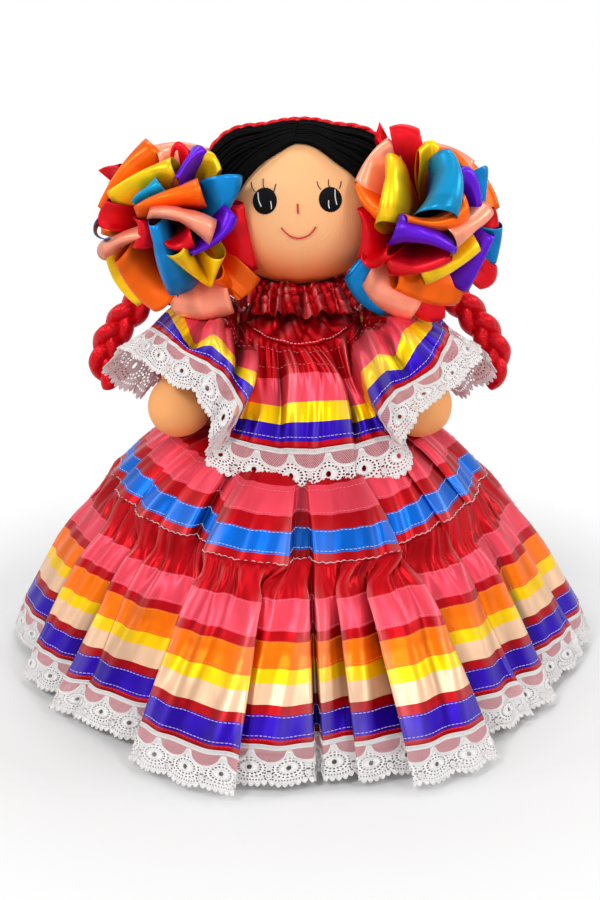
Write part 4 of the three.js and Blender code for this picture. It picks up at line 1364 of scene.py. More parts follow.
def peach_cloth():
    finish = Finish("peach knit", Roughness=0.5, Specular_IOR_Level=0.3, Sheen_Weight=0.4,
                    Sheen_Roughness=0.5, Sheen_Tint=(1.0, 0.3, 0.08, 1.0))
    x, y, z = finish.place()
    soft = finish.grain(34.0, 3.0)
    loops = [(axis * knit_loops).sine() for axis in (x, y, z)]
    weave = loops[0] * loops[2] + loops[1] * 0.5
    # Painted shade: a deeper orange low on the head and towards its sides, where it turns away from
    # the light.
    low = (z * -1 + 0.345 + x.away() * 0.25).ramp(0.0, 0.066) * z.over(0.27)
    colour = finish.mixed(soft * 0.35, srgb(255, 196, 140), srgb(255, 178, 112))
    colour = finish.mixed(low * low * 0.97, colour, srgb(255, 98, 18))
    colour = finish.mixed(z.under(0.27) * 0.6, colour, srgb(255, 166, 84))
    finish.feed("Base Color", colour)
    finish.feed("Roughness", soft * 0.15 + 0.42)
    grain = finish.grain(900.0, 2.0)
    finish.bump(weave * 0.25 + grain * 0.5 + soft * 2.0, 0.0003, 0.5)
    return finish.material


peach = peach_cloth()
head = new_object("head_ball", ball_mesh("head_ball", head_middle, head_radii, 96, 60), peach)
print("head", [round(float(d) * 2000) for d in head_radii], "mm across")

# %% [markdown]
# ## Face
# The face is sewn: each eye is a disc of black satin stitch with two white strokes laid over it,
# three short lashes stand above it, the nose is a short red stitch and the mouth is a curved
# line of red thread. Each is laid on the head at its pixel, so it can't float.
# %% Eyes


def black_stitch():
    finish = Finish("black eye thread", Roughness=0.6, Specular_IOR_Level=0.12)
    x, y, z = finish.place()
    wander = finish.grain(260.0)
    rows = (x * 7600.0 + wander * 9.0).sine()
    colour = finish.mixed(rows.ramp(-1.0, 1.0), srgb(2, 1, 2), srgb(9, 8, 10))
    finish.feed("Base Color", colour)
    finish.bump(rows * 0.5 + wander, 0.00035, 0.8)
    return finish.material


eye_thread = black_stitch()
white_stroke = thread_finish("white eye thread", srgb(240, 240, 246), 0.45)
black_thread = thread_finish("black lash thread", srgb(14, 12, 13), 0.6)
red_thread = thread_finish("red face thread", srgb(216, 20, 28), 0.5)
eye_pixels = {"left": (264.3, 200.9, 12.1), "right": (330.7, 199.5, 11.7)}


def eye_disc(name, px, py, wide):
    """A low dome of stitches round a pixel of the face."""
    middle = face_pixel(px, py)
    out = unit((middle - head_middle) / head_radii**2)
    up = unit(np.cross(np.cross(out, [0, 0, 1.0]), out))
    across = np.cross(up, out)
    radius = np.linalg.norm(face_pixel(px + wide, py) - face_pixel(px - wide, py)) / 2
    rings, count = 9, 48
    points = []
    for i in range(1, rings + 1):
        r = radius * math.sin(math.pi / 2 * i / rings)
        lift = 1.2 * mm * math.cos(math.pi / 2 * i / rings) - (0.8 * mm if i == rings else 0)
        for k in range(count):
            t = 2 * math.pi * k / count
            ragged = 1 + 0.012 * math.sin(23 * t) if i > rings - 2 else 1
            d = middle + (across * math.cos(t) + up * math.sin(t) * 1.03) * r * ragged
            points.append(on_head(d - head_middle, lift + 0.1 * mm))
    points += [on_head(middle - head_middle, lift) for lift in (1.1 * mm, -1.5 * mm)]
    faces = [face[::-1] for face in closed_faces(rings, count)]
    return new_object(name, new_mesh(name, points, faces), eye_thread)


def face_line(pixels, lift, count=9):
    """A line on the face through pixels of the photograph."""
    line = smooth_line(np.array([(*p, 0.0) for p in pixels]), count)
    return np.array([face_pixel(x, y, lift) for x, y, _ in line])


def face_crop(x, y):
    """A pixel of the photograph from a place in the enlarged view of the face."""
    return 180 + x / 7.127, 110 + y / 7.127


eyes = {name: eye_disc("eye_disc_" + name, *eye_pixels[name]) for name in sides}
stroke_places = {
    "left": [((562, 590), (566, 640), (585, 690)), ((650, 650), (655, 680), (655, 705))],
    "right": [((1100, 570), (1102, 625), (1112, 675)), ((1055, 645), (1055, 675), (1060, 700))],
}
lash_places = {
    "left": [((537, 583), (515, 552), (508, 513)), ((598, 565), (594, 528), (593, 490)),
             ((668, 583), (676, 556), (684, 527))],
    "right": [((1005, 567), (985, 542), (977, 510)), ((1065, 555), (1058, 525), (1058, 495)),
              ((1135, 560), (1144, 534), (1148, 508))],
}


def face_lines(places, lift):
    """Lines on the face through places of the enlarged view."""
    return [face_line([face_crop(*p) for p in line], lift) for line in places]


strokes, lashes = {}, {}
for name in sides:
    white_lines = face_lines(stroke_places[name], 1.35 * mm)
    strokes[name] = thread("eye_strokes_" + name, white_lines, 0.38 * mm, white_stroke, sides=6)
    black_lines = face_lines(lash_places[name], 0.25 * mm)
    lashes[name] = thread("lashes_" + name, black_lines, 0.36 * mm, black_thread, sides=5)

# %% Nose and mouth
nose_line = [
    face_line([(297.6 + dx, 203.6 + abs(dx) * 0.5), (298.2 + dx, 213.8 - abs(dx) * 0.5)],
              0.45 * mm, 7)
    for dx in (-0.45, 0.25)
]
nose = thread("nose_satin_stitch", nose_line, 0.42 * mm, red_thread, sides=6)
mouth_pixels = [
    (281.3, 227.6), (284.6, 231.6), (290.0, 235.9), (298.6, 238.2), (307.2, 236.0),
    (312.7, 231.4), (315.8, 226.7),
]
mouth_path = face_line(mouth_pixels, 0.35 * mm, 34)
mouth = thread("mouth_thread", [mouth_path], 0.55 * mm, red_thread, sides=7)
print("face sewn")

# %% [markdown]
# ## Hair
# The hair is thick black yarn, couched on along a middle parting and drawn to each side, where
# the bow ties it. Every strand is a path from the parting over the head to that gather, and one
# node tree turns all the paths into yarn. A thin dark cap under it hides the knit.
# %% Yarn


def woolly(name, dark, light, tone, fibre, **fixed):
    """Fuzzy stuff: tone and fibre are the scale and detail of its shade and of its bump."""
    finish = Finish(name, **fixed)
    finish.feed("Base Color", finish.mixed(finish.grain(*tone), dark, light))
    finish.bump(finish.grain(*fibre), 0.0006, 0.8)
    return finish.material


yarn = woolly("black yarn", srgb(1, 1, 1), srgb(8, 7, 7), (90.0, 2.0), (700.0, 3.0),
              Roughness=0.8, Specular_IOR_Level=0.05)


def between(a, b, share):
    """Directions on the way from a to b round a sphere."""
    a, b = unit(a), unit(b)
    angle = math.acos(float(np.clip(np.dot(a, b), -1, 1)))
    share = np.asarray(share)[:, None]
    return (np.sin((1 - share) * angle) * a + np.sin(share * angle) * b) / math.sin(angle)


def parting(share):
    """The parting, from over the forehead across the crown to the nape."""
    rise = math.radians(mix(59, 232, share))
    return np.array([-0.09 * math.cos(rise) * (1 - share), -math.cos(rise), math.sin(rise)])


# Turn and rise in degrees: the hairline from the parting to the ear, and where the yarn goes
hairlines = {
    -1: [(-7.6, 58), (-17, 53.5), (-26.6, 45.7), (-38.9, 31.8), (-46.6, 15.0), (-58, -6)],
    1: [(-7.6, 58), (5, 57.5), (15.1, 54.6), (31.1, 40.4), (44.3, 26.0), (52, 10), (60, -8)],
}
by_ear, at_bow, at_nape = (78.0, -14.0), (92.0, -14.0), (128.0, -44.0)


def hair_way(side, spot):
    """The direction of a spot given for the right side."""
    return toward(side * spot[0], spot[1])


def hair_line(side, share, start, end, count):
    """A strand's directions: the first follows the hairline, the last runs along the nape."""
    t = np.linspace(0, 1, count)
    front = [toward(turn, rise) for turn, rise in hairlines[side]] + [hair_way(side, by_ear)]
    front = unit(smooth_line(front, count))
    line = between(start, end, t)
    if share > 0.55:
        bulge = np.sin(math.pi * t)[:, None] * hair_way(side, at_nape)
        line = unit(line + bulge * 0.75 * smoothstep(0.55, 1.0, share))
    return unit(mix(line, front, (1 - smoothstep(0, 0.42, share)) ** 1.6))


def hair_strands(side, seed, lift):
    """Strand paths of one side."""
    draw = np.random.default_rng(seed)
    paths = []
    count = 78
    t = np.linspace(0, 1, 26)
    for k in range(count):
        share = (k + draw.uniform(-0.25, 0.25)) / (count - 1)
        share = min(max(share, 0), 1)
        start = parting(share) + np.array([side * 0.012, 0, 0])
        end = unit(hair_way(side, at_bow) + 0.10 * draw.normal(size=3))
        line = hair_line(side, share, start, end, len(t))
        rise = lift + 0.5 * mm * draw.random() + 2.0 * mm * np.sin(math.pi * t) ** 0.5 * 0.4
        wave = 0.010 * waves(int(draw.integers(1 << 30)), t, [1.3, 2.9])[:, None]
        across = unit(np.cross(line, np.gradient(line, axis=0)))
        paths.append(on_head(line + across * wave, rise + hair_bulk(line)))
    return paths


hair = {}
for name, side in sides.items():
    paths = hair_strands(side, 41 + side, 1.2 * mm) + hair_strands(side, 51 + side, 2.4 * mm)
    hair[name] = thread("yarn_hair_" + name, paths, 1.15 * mm, yarn, sides=6)


def hair_cap(side):
    """The dark backing under the yarn, from the parting to the hairline and the nape."""
    rows = []
    for share in np.linspace(0.0, 1, 48):
        line = hair_line(side, share, parting(share), hair_way(side, at_bow), 24)
        rows.append(on_head(line, 0.7 * mm + hair_bulk(line)))
    return Cloth(np.array(rows), outwards=-side)


caps = {name: cloth_piece("hair_cap_" + name, hair_cap(side), yarn, 0.8 * mm)
        for name, side in sides.items()}
print("hair", {name: len(piece.data.polygons) for name, piece in hair.items()}, "faces")

# %% [markdown]
# ## Headband
# A red satin ribbon was rolled into a cord and laid over the crown. Two cords wound round each
# other give the slanted light of a rolled ribbon.
# %% Headband
band_turns = np.linspace(-84, 84, 240)
band_path = []
for degrees in band_turns:
    a = math.radians(degrees)
    direction = np.array([math.sin(a) - 0.08, 0.09 * math.cos(a) - 0.02, math.cos(a)])
    band_path.append(on_head(direction, (3.2 + 1.5 * abs(math.sin(a))) * mm + hair_bulk(direction)))
band_path = np.array(band_path)


def wound(path, radius, turns_round, phase):
    """A path that winds round another one."""
    _, side_way, up_way = path_frame(path, [0.0, 1.0, 0.05])
    angle = (2 * math.pi * turns_round * np.linspace(0, 1, len(path)) + phase)[:, None]
    return path + radius * (side_way * np.cos(angle) + up_way * np.sin(angle))


cord_finish = Finish("rolled red satin", Roughness=0.34, Metallic=0.4, Specular_IOR_Level=0.2)
x, y, z = cord_finish.place()
folds = cord_finish.noise(cord_finish.vector(x, y * 2.0, z * 1.6), 190.0, 2.0)
# Painted shade: the colour darkens to a deep red along the same noise that makes the folds of the
# bump.
shade = cord_finish.mixed((folds - 0.45) * 0.7, srgb(214, 8, 26), srgb(96, 0, 8))
cord_finish.feed("Base Color", shade)
cord_finish.bump(folds, 0.0016, 0.6)
rolled_satin = cord_finish.material
band_strands = [wound(band_path, 0.8 * mm, 11, phase) for phase in (0, math.pi)]
headband = thread("rolled_headband", band_strands, 1.75 * mm, rolled_satin, sides=9)
print("headband", round(float(lengths(band_path)[-1]), 3), "m")

# %% [markdown]
# ## Bows
# Each bow is one long run of ribbons folded into loops and tied in the middle, so it spreads into
# a ball of loops. A loop goes out from the tie, turns round at its tip and comes back. Its section
# is a drop shape, and because the ribbon is pulled more on one edge, the loop is a cone: one end of
# its tip is pointed and the other stands open. So each loop is placed by three points of its tip
# as seen in the picture, and by how thick it is at the two ends of the tip.
# %% Ribbons
ribbon_colours = {
    # Each ribbon: its own colour, then a darker copy of it that is painted in as shade towards the
    # tie
    "red": (srgb(226, 8, 28), srgb(150, 0, 14)),
    "orange": (srgb(255, 104, 0), srgb(222, 34, 0)),
    "teal": (srgb(0, 146, 200), srgb(0, 62, 130)),
    "blue": (srgb(0, 132, 206), srgb(0, 50, 138)),
    "salmon": (srgb(255, 158, 128), srgb(244, 92, 66)),
    "purple": (srgb(96, 16, 206), srgb(40, 2, 118)),
    "yellow": (srgb(255, 206, 16), srgb(246, 140, 0)),
}


def ribbon_finish(name, tip_colour, shaded_colour):
    """Ribbon satin with painted shade: towards the tie, where little light gets in, its colour goes
    over to a darker copy.
    """
    finish = Finish(name + " ribbon", Roughness=0.34, Metallic=0.35, Specular_IOR_Level=0.2)
    along, down = finish.cloth_place()
    depth = finish.node("MapRange", {"interpolation_type": "SMOOTHSTEP"},
                        {0: down, 1: 0.010, 2: 0.036})
    return satin_sheen(finish, finish.mixed(depth, tip_colour, shaded_colour), 0.0, 0.34, 0.35)


ribbon_satin = {name: ribbon_finish(name, *pair) for name, pair in ribbon_colours.items()}
bow_reach, ribbon_width = 62 * mm, 41 * mm
bow_middle = {name: np.array([side * 85.0, -34.0, 335.0]) * mm for name, side in sides.items()}


def loop_grid(base, tips, puffs, seed, pinch=0.3):
    """A ribbon loop out to a tip line and back: rows go along the ribbon, columns across it."""
    draw = np.random.default_rng(seed)
    a, b, c = (np.asarray(p, float) for p in tips)
    w = np.linspace(-1, 1, 13)[:, None]
    tip = b + w * (c - a) / 2 + w**2 * ((a + c) / 2 - b)
    centre = tip.mean(axis=0)
    out = unit(centre - base)
    across = unit((c - a) - np.dot(c - a, out) * out)
    up = np.cross(out, across)
    puff = mix(puffs[0], puffs[1], (w[:, 0] + 1) / 2)
    notch, lean, turn = draw.uniform(-0.6, 0.6), draw.uniform(-0.3, 0.3), draw.uniform(0, 6.28)
    rows = []
    for t in np.linspace(0.10, 2 * math.pi - 0.10, 42):
        s = (1 - math.cos(t)) / 2
        height = puff * (1.54 * math.sin(t) * math.sin(t / 2) ** 2 + lean * math.sin(math.pi * s))
        dent = 1.1 * mm * np.sin(2.4 * w[:, 0] + turn) * math.sin(1.5 * t + turn)
        crease = -1.6 * mm * np.exp(-np.abs(w[:, 0] - notch) / 0.16) * math.sin(t)
        fan = pinch + (1 - pinch) * smoothstep(0.0, 0.66, np.array(s))
        line = base + (centre - base) * s + (tip - centre) * fan
        rows.append(line + (height + (dent + crease) * s)[:, None] * up)
    return np.array(rows)


def ribbon_piece(name, loops, colours):
    """One mesh of several ribbon loops; loops are (grid, colour) pairs."""
    points, faces, places, slots, start = [], [], [], [], 0
    for grid, colour in loops:
        rows, columns = grid.shape[:2]
        cloth = Cloth(grid)
        from_tip = np.abs(cloth.down - cloth.down[-1] / 2)
        points.append(grid.reshape(-1, 3))
        for j in range(rows - 1):
            for i in range(columns - 1):
                corner = [(j, i), (j + 1, i), (j + 1, i + 1), (j, i + 1)]
                faces.append([start + a * columns + b for a, b in corner])
                places += [(cloth.along[b] + start * 0.0003, from_tip[a]) for a, b in corner]
                slots.append(colours.index(colour))
        start += rows * columns
    mesh = new_mesh(name, np.concatenate(points), faces)
    layer = mesh.uv_layers.new(name="cloth")
    layer.data.foreach_set("uv", np.array(places, np.float32).ravel())
    made = new_object(name, mesh, *[ribbon_satin[c] for c in colours])
    mesh.polygons.foreach_set("material_index", slots)
    give_wall(made, 0.35 * mm)
    return made


def bow_crop(name, x, y):
    """A pixel of the photograph from a place in the enlarged view of a bow."""
    if name == "left":
        return 85 + x / 7.466, 120 + y / 7.466
    return 335 + x / 7.289, 115 + y / 7.293


# %% Loops seen in the picture
# Colour, x and y of three tip points, shares forwards at both ends, and puffs at both ends in mm
bow_loops = {
    "left": """
orange    95  645   250  370   460  140   0.5  0.4   2  9
yellow   165  540   400  400   640  310   0.7  0.8   3  8
red      640  225   700  165   780  230  0.45 0.45   5  5
salmon   540  250   600  205   680  190  0.35 0.35   5  6
purple   690  430   770  290   870  195   0.8  0.6   2  7
yellow   880  240   970  265  1015  370   0.5 0.55   7  4
blue    1120  405  1110  560  1030  730  0.85  0.5  13  6
teal     355  615   440  530   540  450  0.85 0.85   3  7
orange   370  670   600  560   860  500  0.95 0.95   3  9
salmon   475  690   720  715   960  850   1.0  1.0   4  8
red      165  600   110  690    95  785   0.6 0.65   4  6
blue      62  815    66  830    90  845   1.0  0.1   9  7
salmon    95 1005   230  915   410  865   0.7  0.8   7  3
red      600  935   700  950   800  880   0.9  0.9   3  8
purple   800 1005  1000  890  1115  700   0.9 0.75   3  8
red     1175  630  1225  850  1290 1110  0.45  0.5   4  7
blue     500  790   570 1030   695 1305  0.95 0.85   5 10
yellow   690 1000   800 1130   930 1245  0.95 0.85   8  2
yellow  1005 1040   975 1150   945 1250   0.8 0.85   8  2
orange   225 1060   350 1280   520 1430   0.7 0.75   5 11
yellow   155 1020   230 1220   385 1385  0.45 0.45   4  7
salmon   655 1430   880 1490  1115 1440  0.55  0.5   8 10
orange  1010 1180  1095 1270  1165 1335  0.75  0.7   8  3
orange  1310 1185  1250 1270  1165 1335   0.5  0.7   8  3
purple   590 1350   640 1385   700 1350   0.4  0.4   6  5
red      100  375   170  350   250  330   0.3 0.35   1  5
red      380  740   420  850   380  960   0.8  0.8   6  6
    """,
    "right": """
red      395   90   500   70   615  105  0.45 0.45   7 10
salmon   150  485   245  300   385  165  0.55  0.5   6  4
yellow   385  280   385  520   345  775   0.8 0.95   5  9
orange   140  510   200  620   315  720   0.6 0.75   3  7
yellow   610  260   690  185   755  225  0.45 0.45   4  8
orange   760  240   880  275   985  385   0.5  0.5   3  7
teal     820  245   890  450   805  695   0.8  1.0   5 14
purple   900  410  1015  440  1070  650  0.65 0.55  11  5
blue    1090  370  1112  450  1095  660  0.45 0.35  10  4
orange   530  755   790  790   975  665   1.0 0.85   3  9
salmon   880  910  1040  800  1150  690  0.95 0.65  10  6
red     1165  680  1185  740  1190  820   0.4  0.4   4  5
purple   430  850   660  880   885  995   1.0  1.0  11  4
red      155  685   205  860   180 1050   0.6 0.65   3  8
red      200 1070   270 1110   375 1010   0.8  0.9   7  3
red      385 1130   600 1145   845 1055   0.9  0.9   9  4
yellow   650 1210   850 1130  1060  975   0.9 0.75   9  6
blue    1215  820  1205  950  1175 1080  0.45  0.4   9  4
purple   965 1290  1060 1110  1160  885   0.7  0.6   8  4
red     1060 1270  1160 1220  1180 1105   0.4  0.4   7  6
blue      70 1200   180 1370   345 1465   0.5  0.5   9  3
salmon   190 1240   330 1410   540 1490   0.7 0.65   5 11
orange   430 1270   680 1370   880 1385  0.85  0.7   6 10
red      560 1440   680 1510   800 1480   0.5  0.5   7  7
yellow   735 1515   780 1480   800 1440  0.35 0.35   4  5
red      300  180   305  110   322   50   0.4  0.3   5  1
    """,
}


def tip_point(name, spot, forward):
    """A loop's tip from its place in the picture; forward 1 puts it on the bow's round front."""
    middle = bow_middle[name]
    px, py = bow_crop(name, *spot)
    rho = np.linalg.norm((at_pixel(px, py, middle[1]) - middle)[[0, 2]])
    depth = forward * math.sqrt(max(bow_reach**2 - rho**2, (15 * mm) ** 2))
    return at_pixel(px, py, middle[1] - depth)


ribbon_order = ["red", "orange", "teal", "salmon", "purple", "yellow"]
bow_pieces, ribbon_areas = {}, {}
for name, side in sides.items():
    middle, loops = bow_middle[name], {}
    for k, row in enumerate(bow_loops[name].strip().splitlines()):
        colour, numbers = row.split(maxsplit=1)
        *spots, near, far, thin, thick = table(numbers)[0]
        forwards = (near, (near + far) / 2, far)
        tips = [tip_point(name, spots[2 * i:2 * i + 2], forwards[i]) for i in range(3)]
        base = middle + unit(np.mean(tips, axis=0) - middle) * 5 * mm + np.array([0, 6 * mm, 0])
        grid = loop_grid(base, tips, (thin * mm, thick * mm), 100 + k + 50 * (side > 0))
        loops.setdefault("teal" if colour == "blue" else colour, []).append((grid, colour))
    for k in range(16):
        turn = 2 * math.pi * k / 16 + 0.2
        behind = 0.45 if k % 2 else 0.85
        out = unit([math.cos(turn) + 0.15 * side, behind, math.sin(turn)])
        tip = middle + out * (52 * mm if k % 2 else 48 * mm)
        way = unit(np.cross(out, [0.0, 1.0, 0.3 * (-1) ** k])) * 21 * mm
        tips = [tip - way, tip + out * 4 * mm, tip + way]
        grid = loop_grid(middle + np.array([0, 4 * mm, 0]), tips, (3 * mm, 9 * mm), 300 + k)
        colour = ribbon_order[k % 6]
        loops.setdefault(colour, []).append((grid, colour))
    for colour, grids in loops.items():
        used = sorted({c for _, c in grids})
        ribbon_areas[name, colour] = sum(Cloth(grid).area() for grid, _ in grids)
        piece_name = "bow_" + name + "_" + colour + "_loops"
        bow_pieces[name, colour] = ribbon_piece(piece_name, grids, used)
    print(name, "bow loops", {colour: len(grids) for colour, grids in loops.items()})

# %% [markdown]
# ## Braids
# Each braid is three hanks of yarn wrapped with red satin, plaited. In a plait, each hank goes
# from side to side while it passes in front twice as often, so three phase-shifted waves along
# the braid's route give the crossings.
# %% Braids
braid_spread, braid_back, braid_fall = 150 * mm, 36 * mm, 138 * mm
braid_route = np.array([
    (0.3, 0.35, 0.1), (0.52, 0.75, 0.26), (0.7, 0.95, 0.46), (0.81, 1.0, 0.59),
    (0.91, 1.0, 0.72), (0.97, 1.0, 0.83), (0.98, 1.0, 0.93), (0.93, 1.0, 1.02),
])


def braid_line(side, count):
    """The middle of a braid."""
    reach = np.array([side * braid_spread, braid_back, -braid_fall])
    return smooth_line([0, 0, head_middle[2]] + braid_route * reach, count)


def plaited(path, wide, deep, crossings, phase):
    """The path of one hank in a plait."""
    _, side_way, back_way = path_frame(path, [0.0, 1.0, 0.0])
    angle = (2 * math.pi * crossings * np.linspace(0, 1, len(path)) + phase)[:, None]
    return path + wide * np.sin(angle) * side_way - deep * np.sin(2 * angle) * back_way


braids, braid_cores = {}, {}
for name, side in sides.items():
    path = braid_line(side, 190)
    strands = [plaited(path, 6.6 * mm, 3.6 * mm, 3.0, 2 * math.pi * k / 3) for k in range(3)]
    braids[name] = thread("braid_satin_" + name, strands, 6.0 * mm, rolled_satin, sides=12)
    yarns = [plaited(path, 5.6 * mm, 3.0 * mm, 3.0, 2 * math.pi * k / 3 + 0.5) for k in range(3)]
    braid_cores[name] = thread("braid_yarn_" + name, yarns, 2.4 * mm, yarn, sides=8)
print("braids", round(float(lengths(path)[-1]), 3), "m long")

# %% [markdown]
# ## Hands, arms and the rest of the body
# These are stuffed cloth, so each is a closed, rounded form. Only the hands show in the
# photograph; the rest is under the dress, but it can be seen from below and with the arms raised.
# %% Stuffed tubes


def tube_mesh(name, path, radii, segments=32):
    """A closed tube along a path with rounded ends."""
    _, side_way, up_way = path_frame(path, [0.02, 1.0, 0.05])
    turn = np.linspace(0, 2 * math.pi, segments + 1)[:-1, None]
    circle = np.cos(turn) * side_way[:, None] + np.sin(turn) * up_way[:, None]
    points = path[:, None] + radii[:, None, None] * circle
    points = np.concatenate([points.reshape(-1, 3), path[:1], path[-1:]])
    return new_mesh(name, points, closed_faces(len(path), segments))


def faces_out(made):
    """Turns a closed mesh's faces outwards if their signed volume is negative."""
    mesh = made.data
    mesh.calc_loop_triangles()
    points = np.array([v.co for v in mesh.vertices])
    corners = points[np.array([t.vertices for t in mesh.loop_triangles])]
    volume = np.einsum("ij,ij->i", corners[:, 0], np.cross(corners[:, 1], corners[:, 2])).sum()
    if volume < 0:
        mesh.flip_normals()
    return made


# %% Arms and hands
hand_radii = np.array([22.5, 21.6, 22.5]) * mm
hand_middle = {name: np.array([side * 86, -36, 203]) * mm for name, side in sides.items()}
hands, arms, undersleeves = {}, {}, {}


def arm_line(side, count):
    """The middle of an arm, from the shoulder to the wrist."""
    places = [
        (side * (40.3 + 56 * r) * mm, -22 * d * mm, (243 - 22 * d) * mm)
        for r, d in ((0, 0), (0.3, 0.05), (0.75, 0.45), (1.0, 1.0))
    ]
    return smooth_line(places, count)


def smooth_copy(name, node, material, levels=2):
    """A soft copy of a stuffed node: its corners merged and rounded."""
    source = bpy.data.objects[node]
    mesh = source.data.copy()
    mesh.name = name
    mesh.materials.clear()
    mesh.transform(source.matrix_world)
    work = bmesh.new()
    work.from_mesh(mesh)
    bmesh.ops.remove_doubles(work, verts=work.verts, dist=0.02 * mm)
    flat = math.radians(1)
    bmesh.ops.dissolve_limit(work, angle_limit=flat, verts=work.verts, edges=work.edges)
    work.to_mesh(mesh)
    work.free()
    mesh.polygons.foreach_set("use_smooth", [True] * len(mesh.polygons))
    made = new_object(name, mesh, material)
    if levels:
        rounding = made.modifiers.new("rounding", "SUBSURF")
        rounding.levels = rounding.render_levels = levels
    return made


dark_red_satin = plain_satin("dark red satin", srgb(140, 4, 18), 0.4)
for name, side in sides.items():
    ball = ball_mesh("hand_ball_" + name, hand_middle[name], hand_radii, 48, 30)
    hands[name] = new_object("hand_ball_" + name, ball, peach)
    path, along_arm = arm_line(side, 30), np.linspace(0, 1, 30)
    radii = mix(13.2 * mm, 10.8 * mm, along_arm) * np.sqrt(np.clip(along_arm / 0.06, 0.04, 1))
    wrist = mix(hand_middle[name], path[25], 0.35)
    limb = smooth_line([*path[:24:4], path[23], wrist], 30)
    arm_mesh = tube_mesh("arm_tube_" + name, limb, radii)
    arms[name] = faces_out(new_object("arm_tube_" + name, arm_mesh, peach))
    forward = unit(np.gradient(path, axis=0))
    up_way = unit(np.array([0, 0, 1.0]) - forward * forward[:, 2:])
    side_way = np.cross(forward, up_way)
    turn = np.linspace(0, 2 * math.pi, 97)[:-1]
    rows = []
    for share in np.linspace(0.12, 0.95, 26):
        middle, up, across = (
            resampled([share], along_arm, v)[0] for v in (path, up_way, side_way)
        )
        t = (share - 0.12) / 0.84
        fold = 0.9 * mm * np.sin(9 * turn + 3 * t) * t + 0.5 * mm * np.sin(17 * turn) * t
        radius = (mix(17.5 * mm, 24 * mm, t * t) + fold)[:, None]
        rows.append(middle + radius * (np.cos(turn[:, None]) * up + np.sin(turn[:, None]) * across))
    cloth = Cloth(np.array(rows), closed=True, outwards=side)
    undersleeves[name] = cloth_piece("undersleeve_cloth_" + name, cloth, dark_red_satin, 0.8 * mm)

torso_form = smooth_copy("torso_stuffed", "torso", peach)
neck_form = smooth_copy("neck_stuffed", "neck", peach)
felt = woolly("black felt", srgb(14, 13, 15), srgb(44, 42, 46), (800.0, 4.0), (800.0, 4.0),
              Roughness=0.9, Sheen_Weight=0.5, Sheen_Roughness=0.6)
legs = {name: smooth_copy("leg_stuffed_" + name, "leg_" + name, peach) for name in sides}
shoes = {name: smooth_copy("shoe_felt_" + name, "shoe_" + name, felt) for name in sides}
bow_ties = {
    name: smooth_copy("bow_tie_satin_" + name, "bow_tie_" + name, rolled_satin, 1) for name in sides
}
print("body forms", len(legs) + len(shoes) + len(arms) + 2)

# %% [markdown]
# ## Petticoat, hoop and waistband
# A stiff net cone carries the skirt. It is a sheet with a see-through net pattern, slightly
# rippled where it was gathered into the waistband. The hoop at its foot is a flat strip in a
# cloth casing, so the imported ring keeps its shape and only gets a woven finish.
# %% Petticoat


def net_finish():
    finish = Finish("stiff white net", Roughness=0.7, Sheen_Weight=0.2)
    along, down = finish.cloth_place()
    lines = [((along + down * s) / 0.0016).fract().under(0.34) for s in (1.0, -1.0)]
    cloud = finish.noise(finish.vector(along, down), 60.0)
    finish.feed("Base Color", finish.mixed(cloud, srgb(238, 236, 232), srgb(214, 211, 208)))
    finish.feed("Alpha", lines[0].most(lines[1]) * 0.25 + 0.75)
    finish.bump(lines[0] + lines[1], 0.0002, 0.5)
    return finish.material


net = net_finish()
count, rows = 240, 30
turn = np.linspace(0, 1, count + 1)[:-1][None]
down = np.linspace(0, 1, rows)[:, None]
pattern = np.linspace(0, 1, 5)
radius_share = np.interp(down, pattern, [0, 0.3, 0.66, 0.87, 1])
height_share = np.interp(down, pattern, [1, 0.83, 0.6, 0.3, 0])
radius = mix(32.9 * mm, 182 * mm, radius_share)
ripples = waves(71, turn, [24, 37]) * 0.7 * mm * np.exp(-down * 5)
ripples = ripples + waves(72, turn, [9, 14]) * 0.4 * mm
radius = radius + ripples * np.sin(math.pi * np.clip(down * 1.02, 0, 1))
height = mix(4.9 * mm, 183.7 * mm, height_share)
petticoat_cloth = Cloth(turned(radius, 2 * math.pi * turn, height), closed=True)
petticoat = cloth_piece("petticoat_net", petticoat_cloth, net, 0.8 * mm)

# %% Waistband and hoop
waistband_depth = 10.2 * mm
low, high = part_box("waistband")
rows = np.linspace(0, 1, 8)[:, None]
turn = np.linspace(0, 1, 181)[:-1][None]
radius = high[0] - 0.7 * mm + 0.4 * mm * np.sin(math.pi * rows)
radius = radius + 0.12 * mm * np.sin(60 * math.pi * turn)
height = mix(high[2] - 0.4 * mm, low[2] + 0.4 * mm, rows)
waist_cloth = Cloth(turned(radius, 2 * math.pi * turn, height), closed=True)
waistband = cloth_piece("waistband_cloth", waist_cloth, red_satin, 1.0 * mm)


def casing_finish():
    finish = Finish("woven hoop casing", Roughness=0.75, Sheen_Weight=0.2)
    x, y, z = finish.place()
    weave = (x * 4200.0).sine() * (y * 4200.0).sine()
    cloud = finish.grain(80.0)
    finish.feed("Base Color", finish.mixed(cloud, srgb(228, 224, 218), srgb(206, 201, 194)))
    finish.bump(weave + cloud, 0.0003, 0.6)
    return finish.material


casing = casing_finish()
for slot in bpy.data.objects["hoop"].material_slots:
    slot.link = "OBJECT"
    slot.material = casing
print("petticoat", round(petticoat_cloth.area(), 3), "m2")


def wear(pieces, body, slot, *replaced):
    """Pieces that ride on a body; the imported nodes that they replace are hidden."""
    for piece in pieces:
        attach(piece, body)
    if replaced:
        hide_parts(*replaced)


def stuffed(piece, body, slot, node):
    """A stuffed piece that rides on a body in place of an imported node."""
    wear([piece], body, slot, node)


def lies(sheet, cloth, extra=(), length=None):
    """Prints a sheet's cut size, from its own grid, and the share of it that the sheet measures."""
    wide = cloth.along[-1]
    long = cloth.down[-1] if length is None else length
    list(extra)
    print(sheet.name, "cut", round(float(wide), 3), "x", round(float(long), 3), "m, measures",
          round(cloth.area() / float(wide * long), 2), "of it")


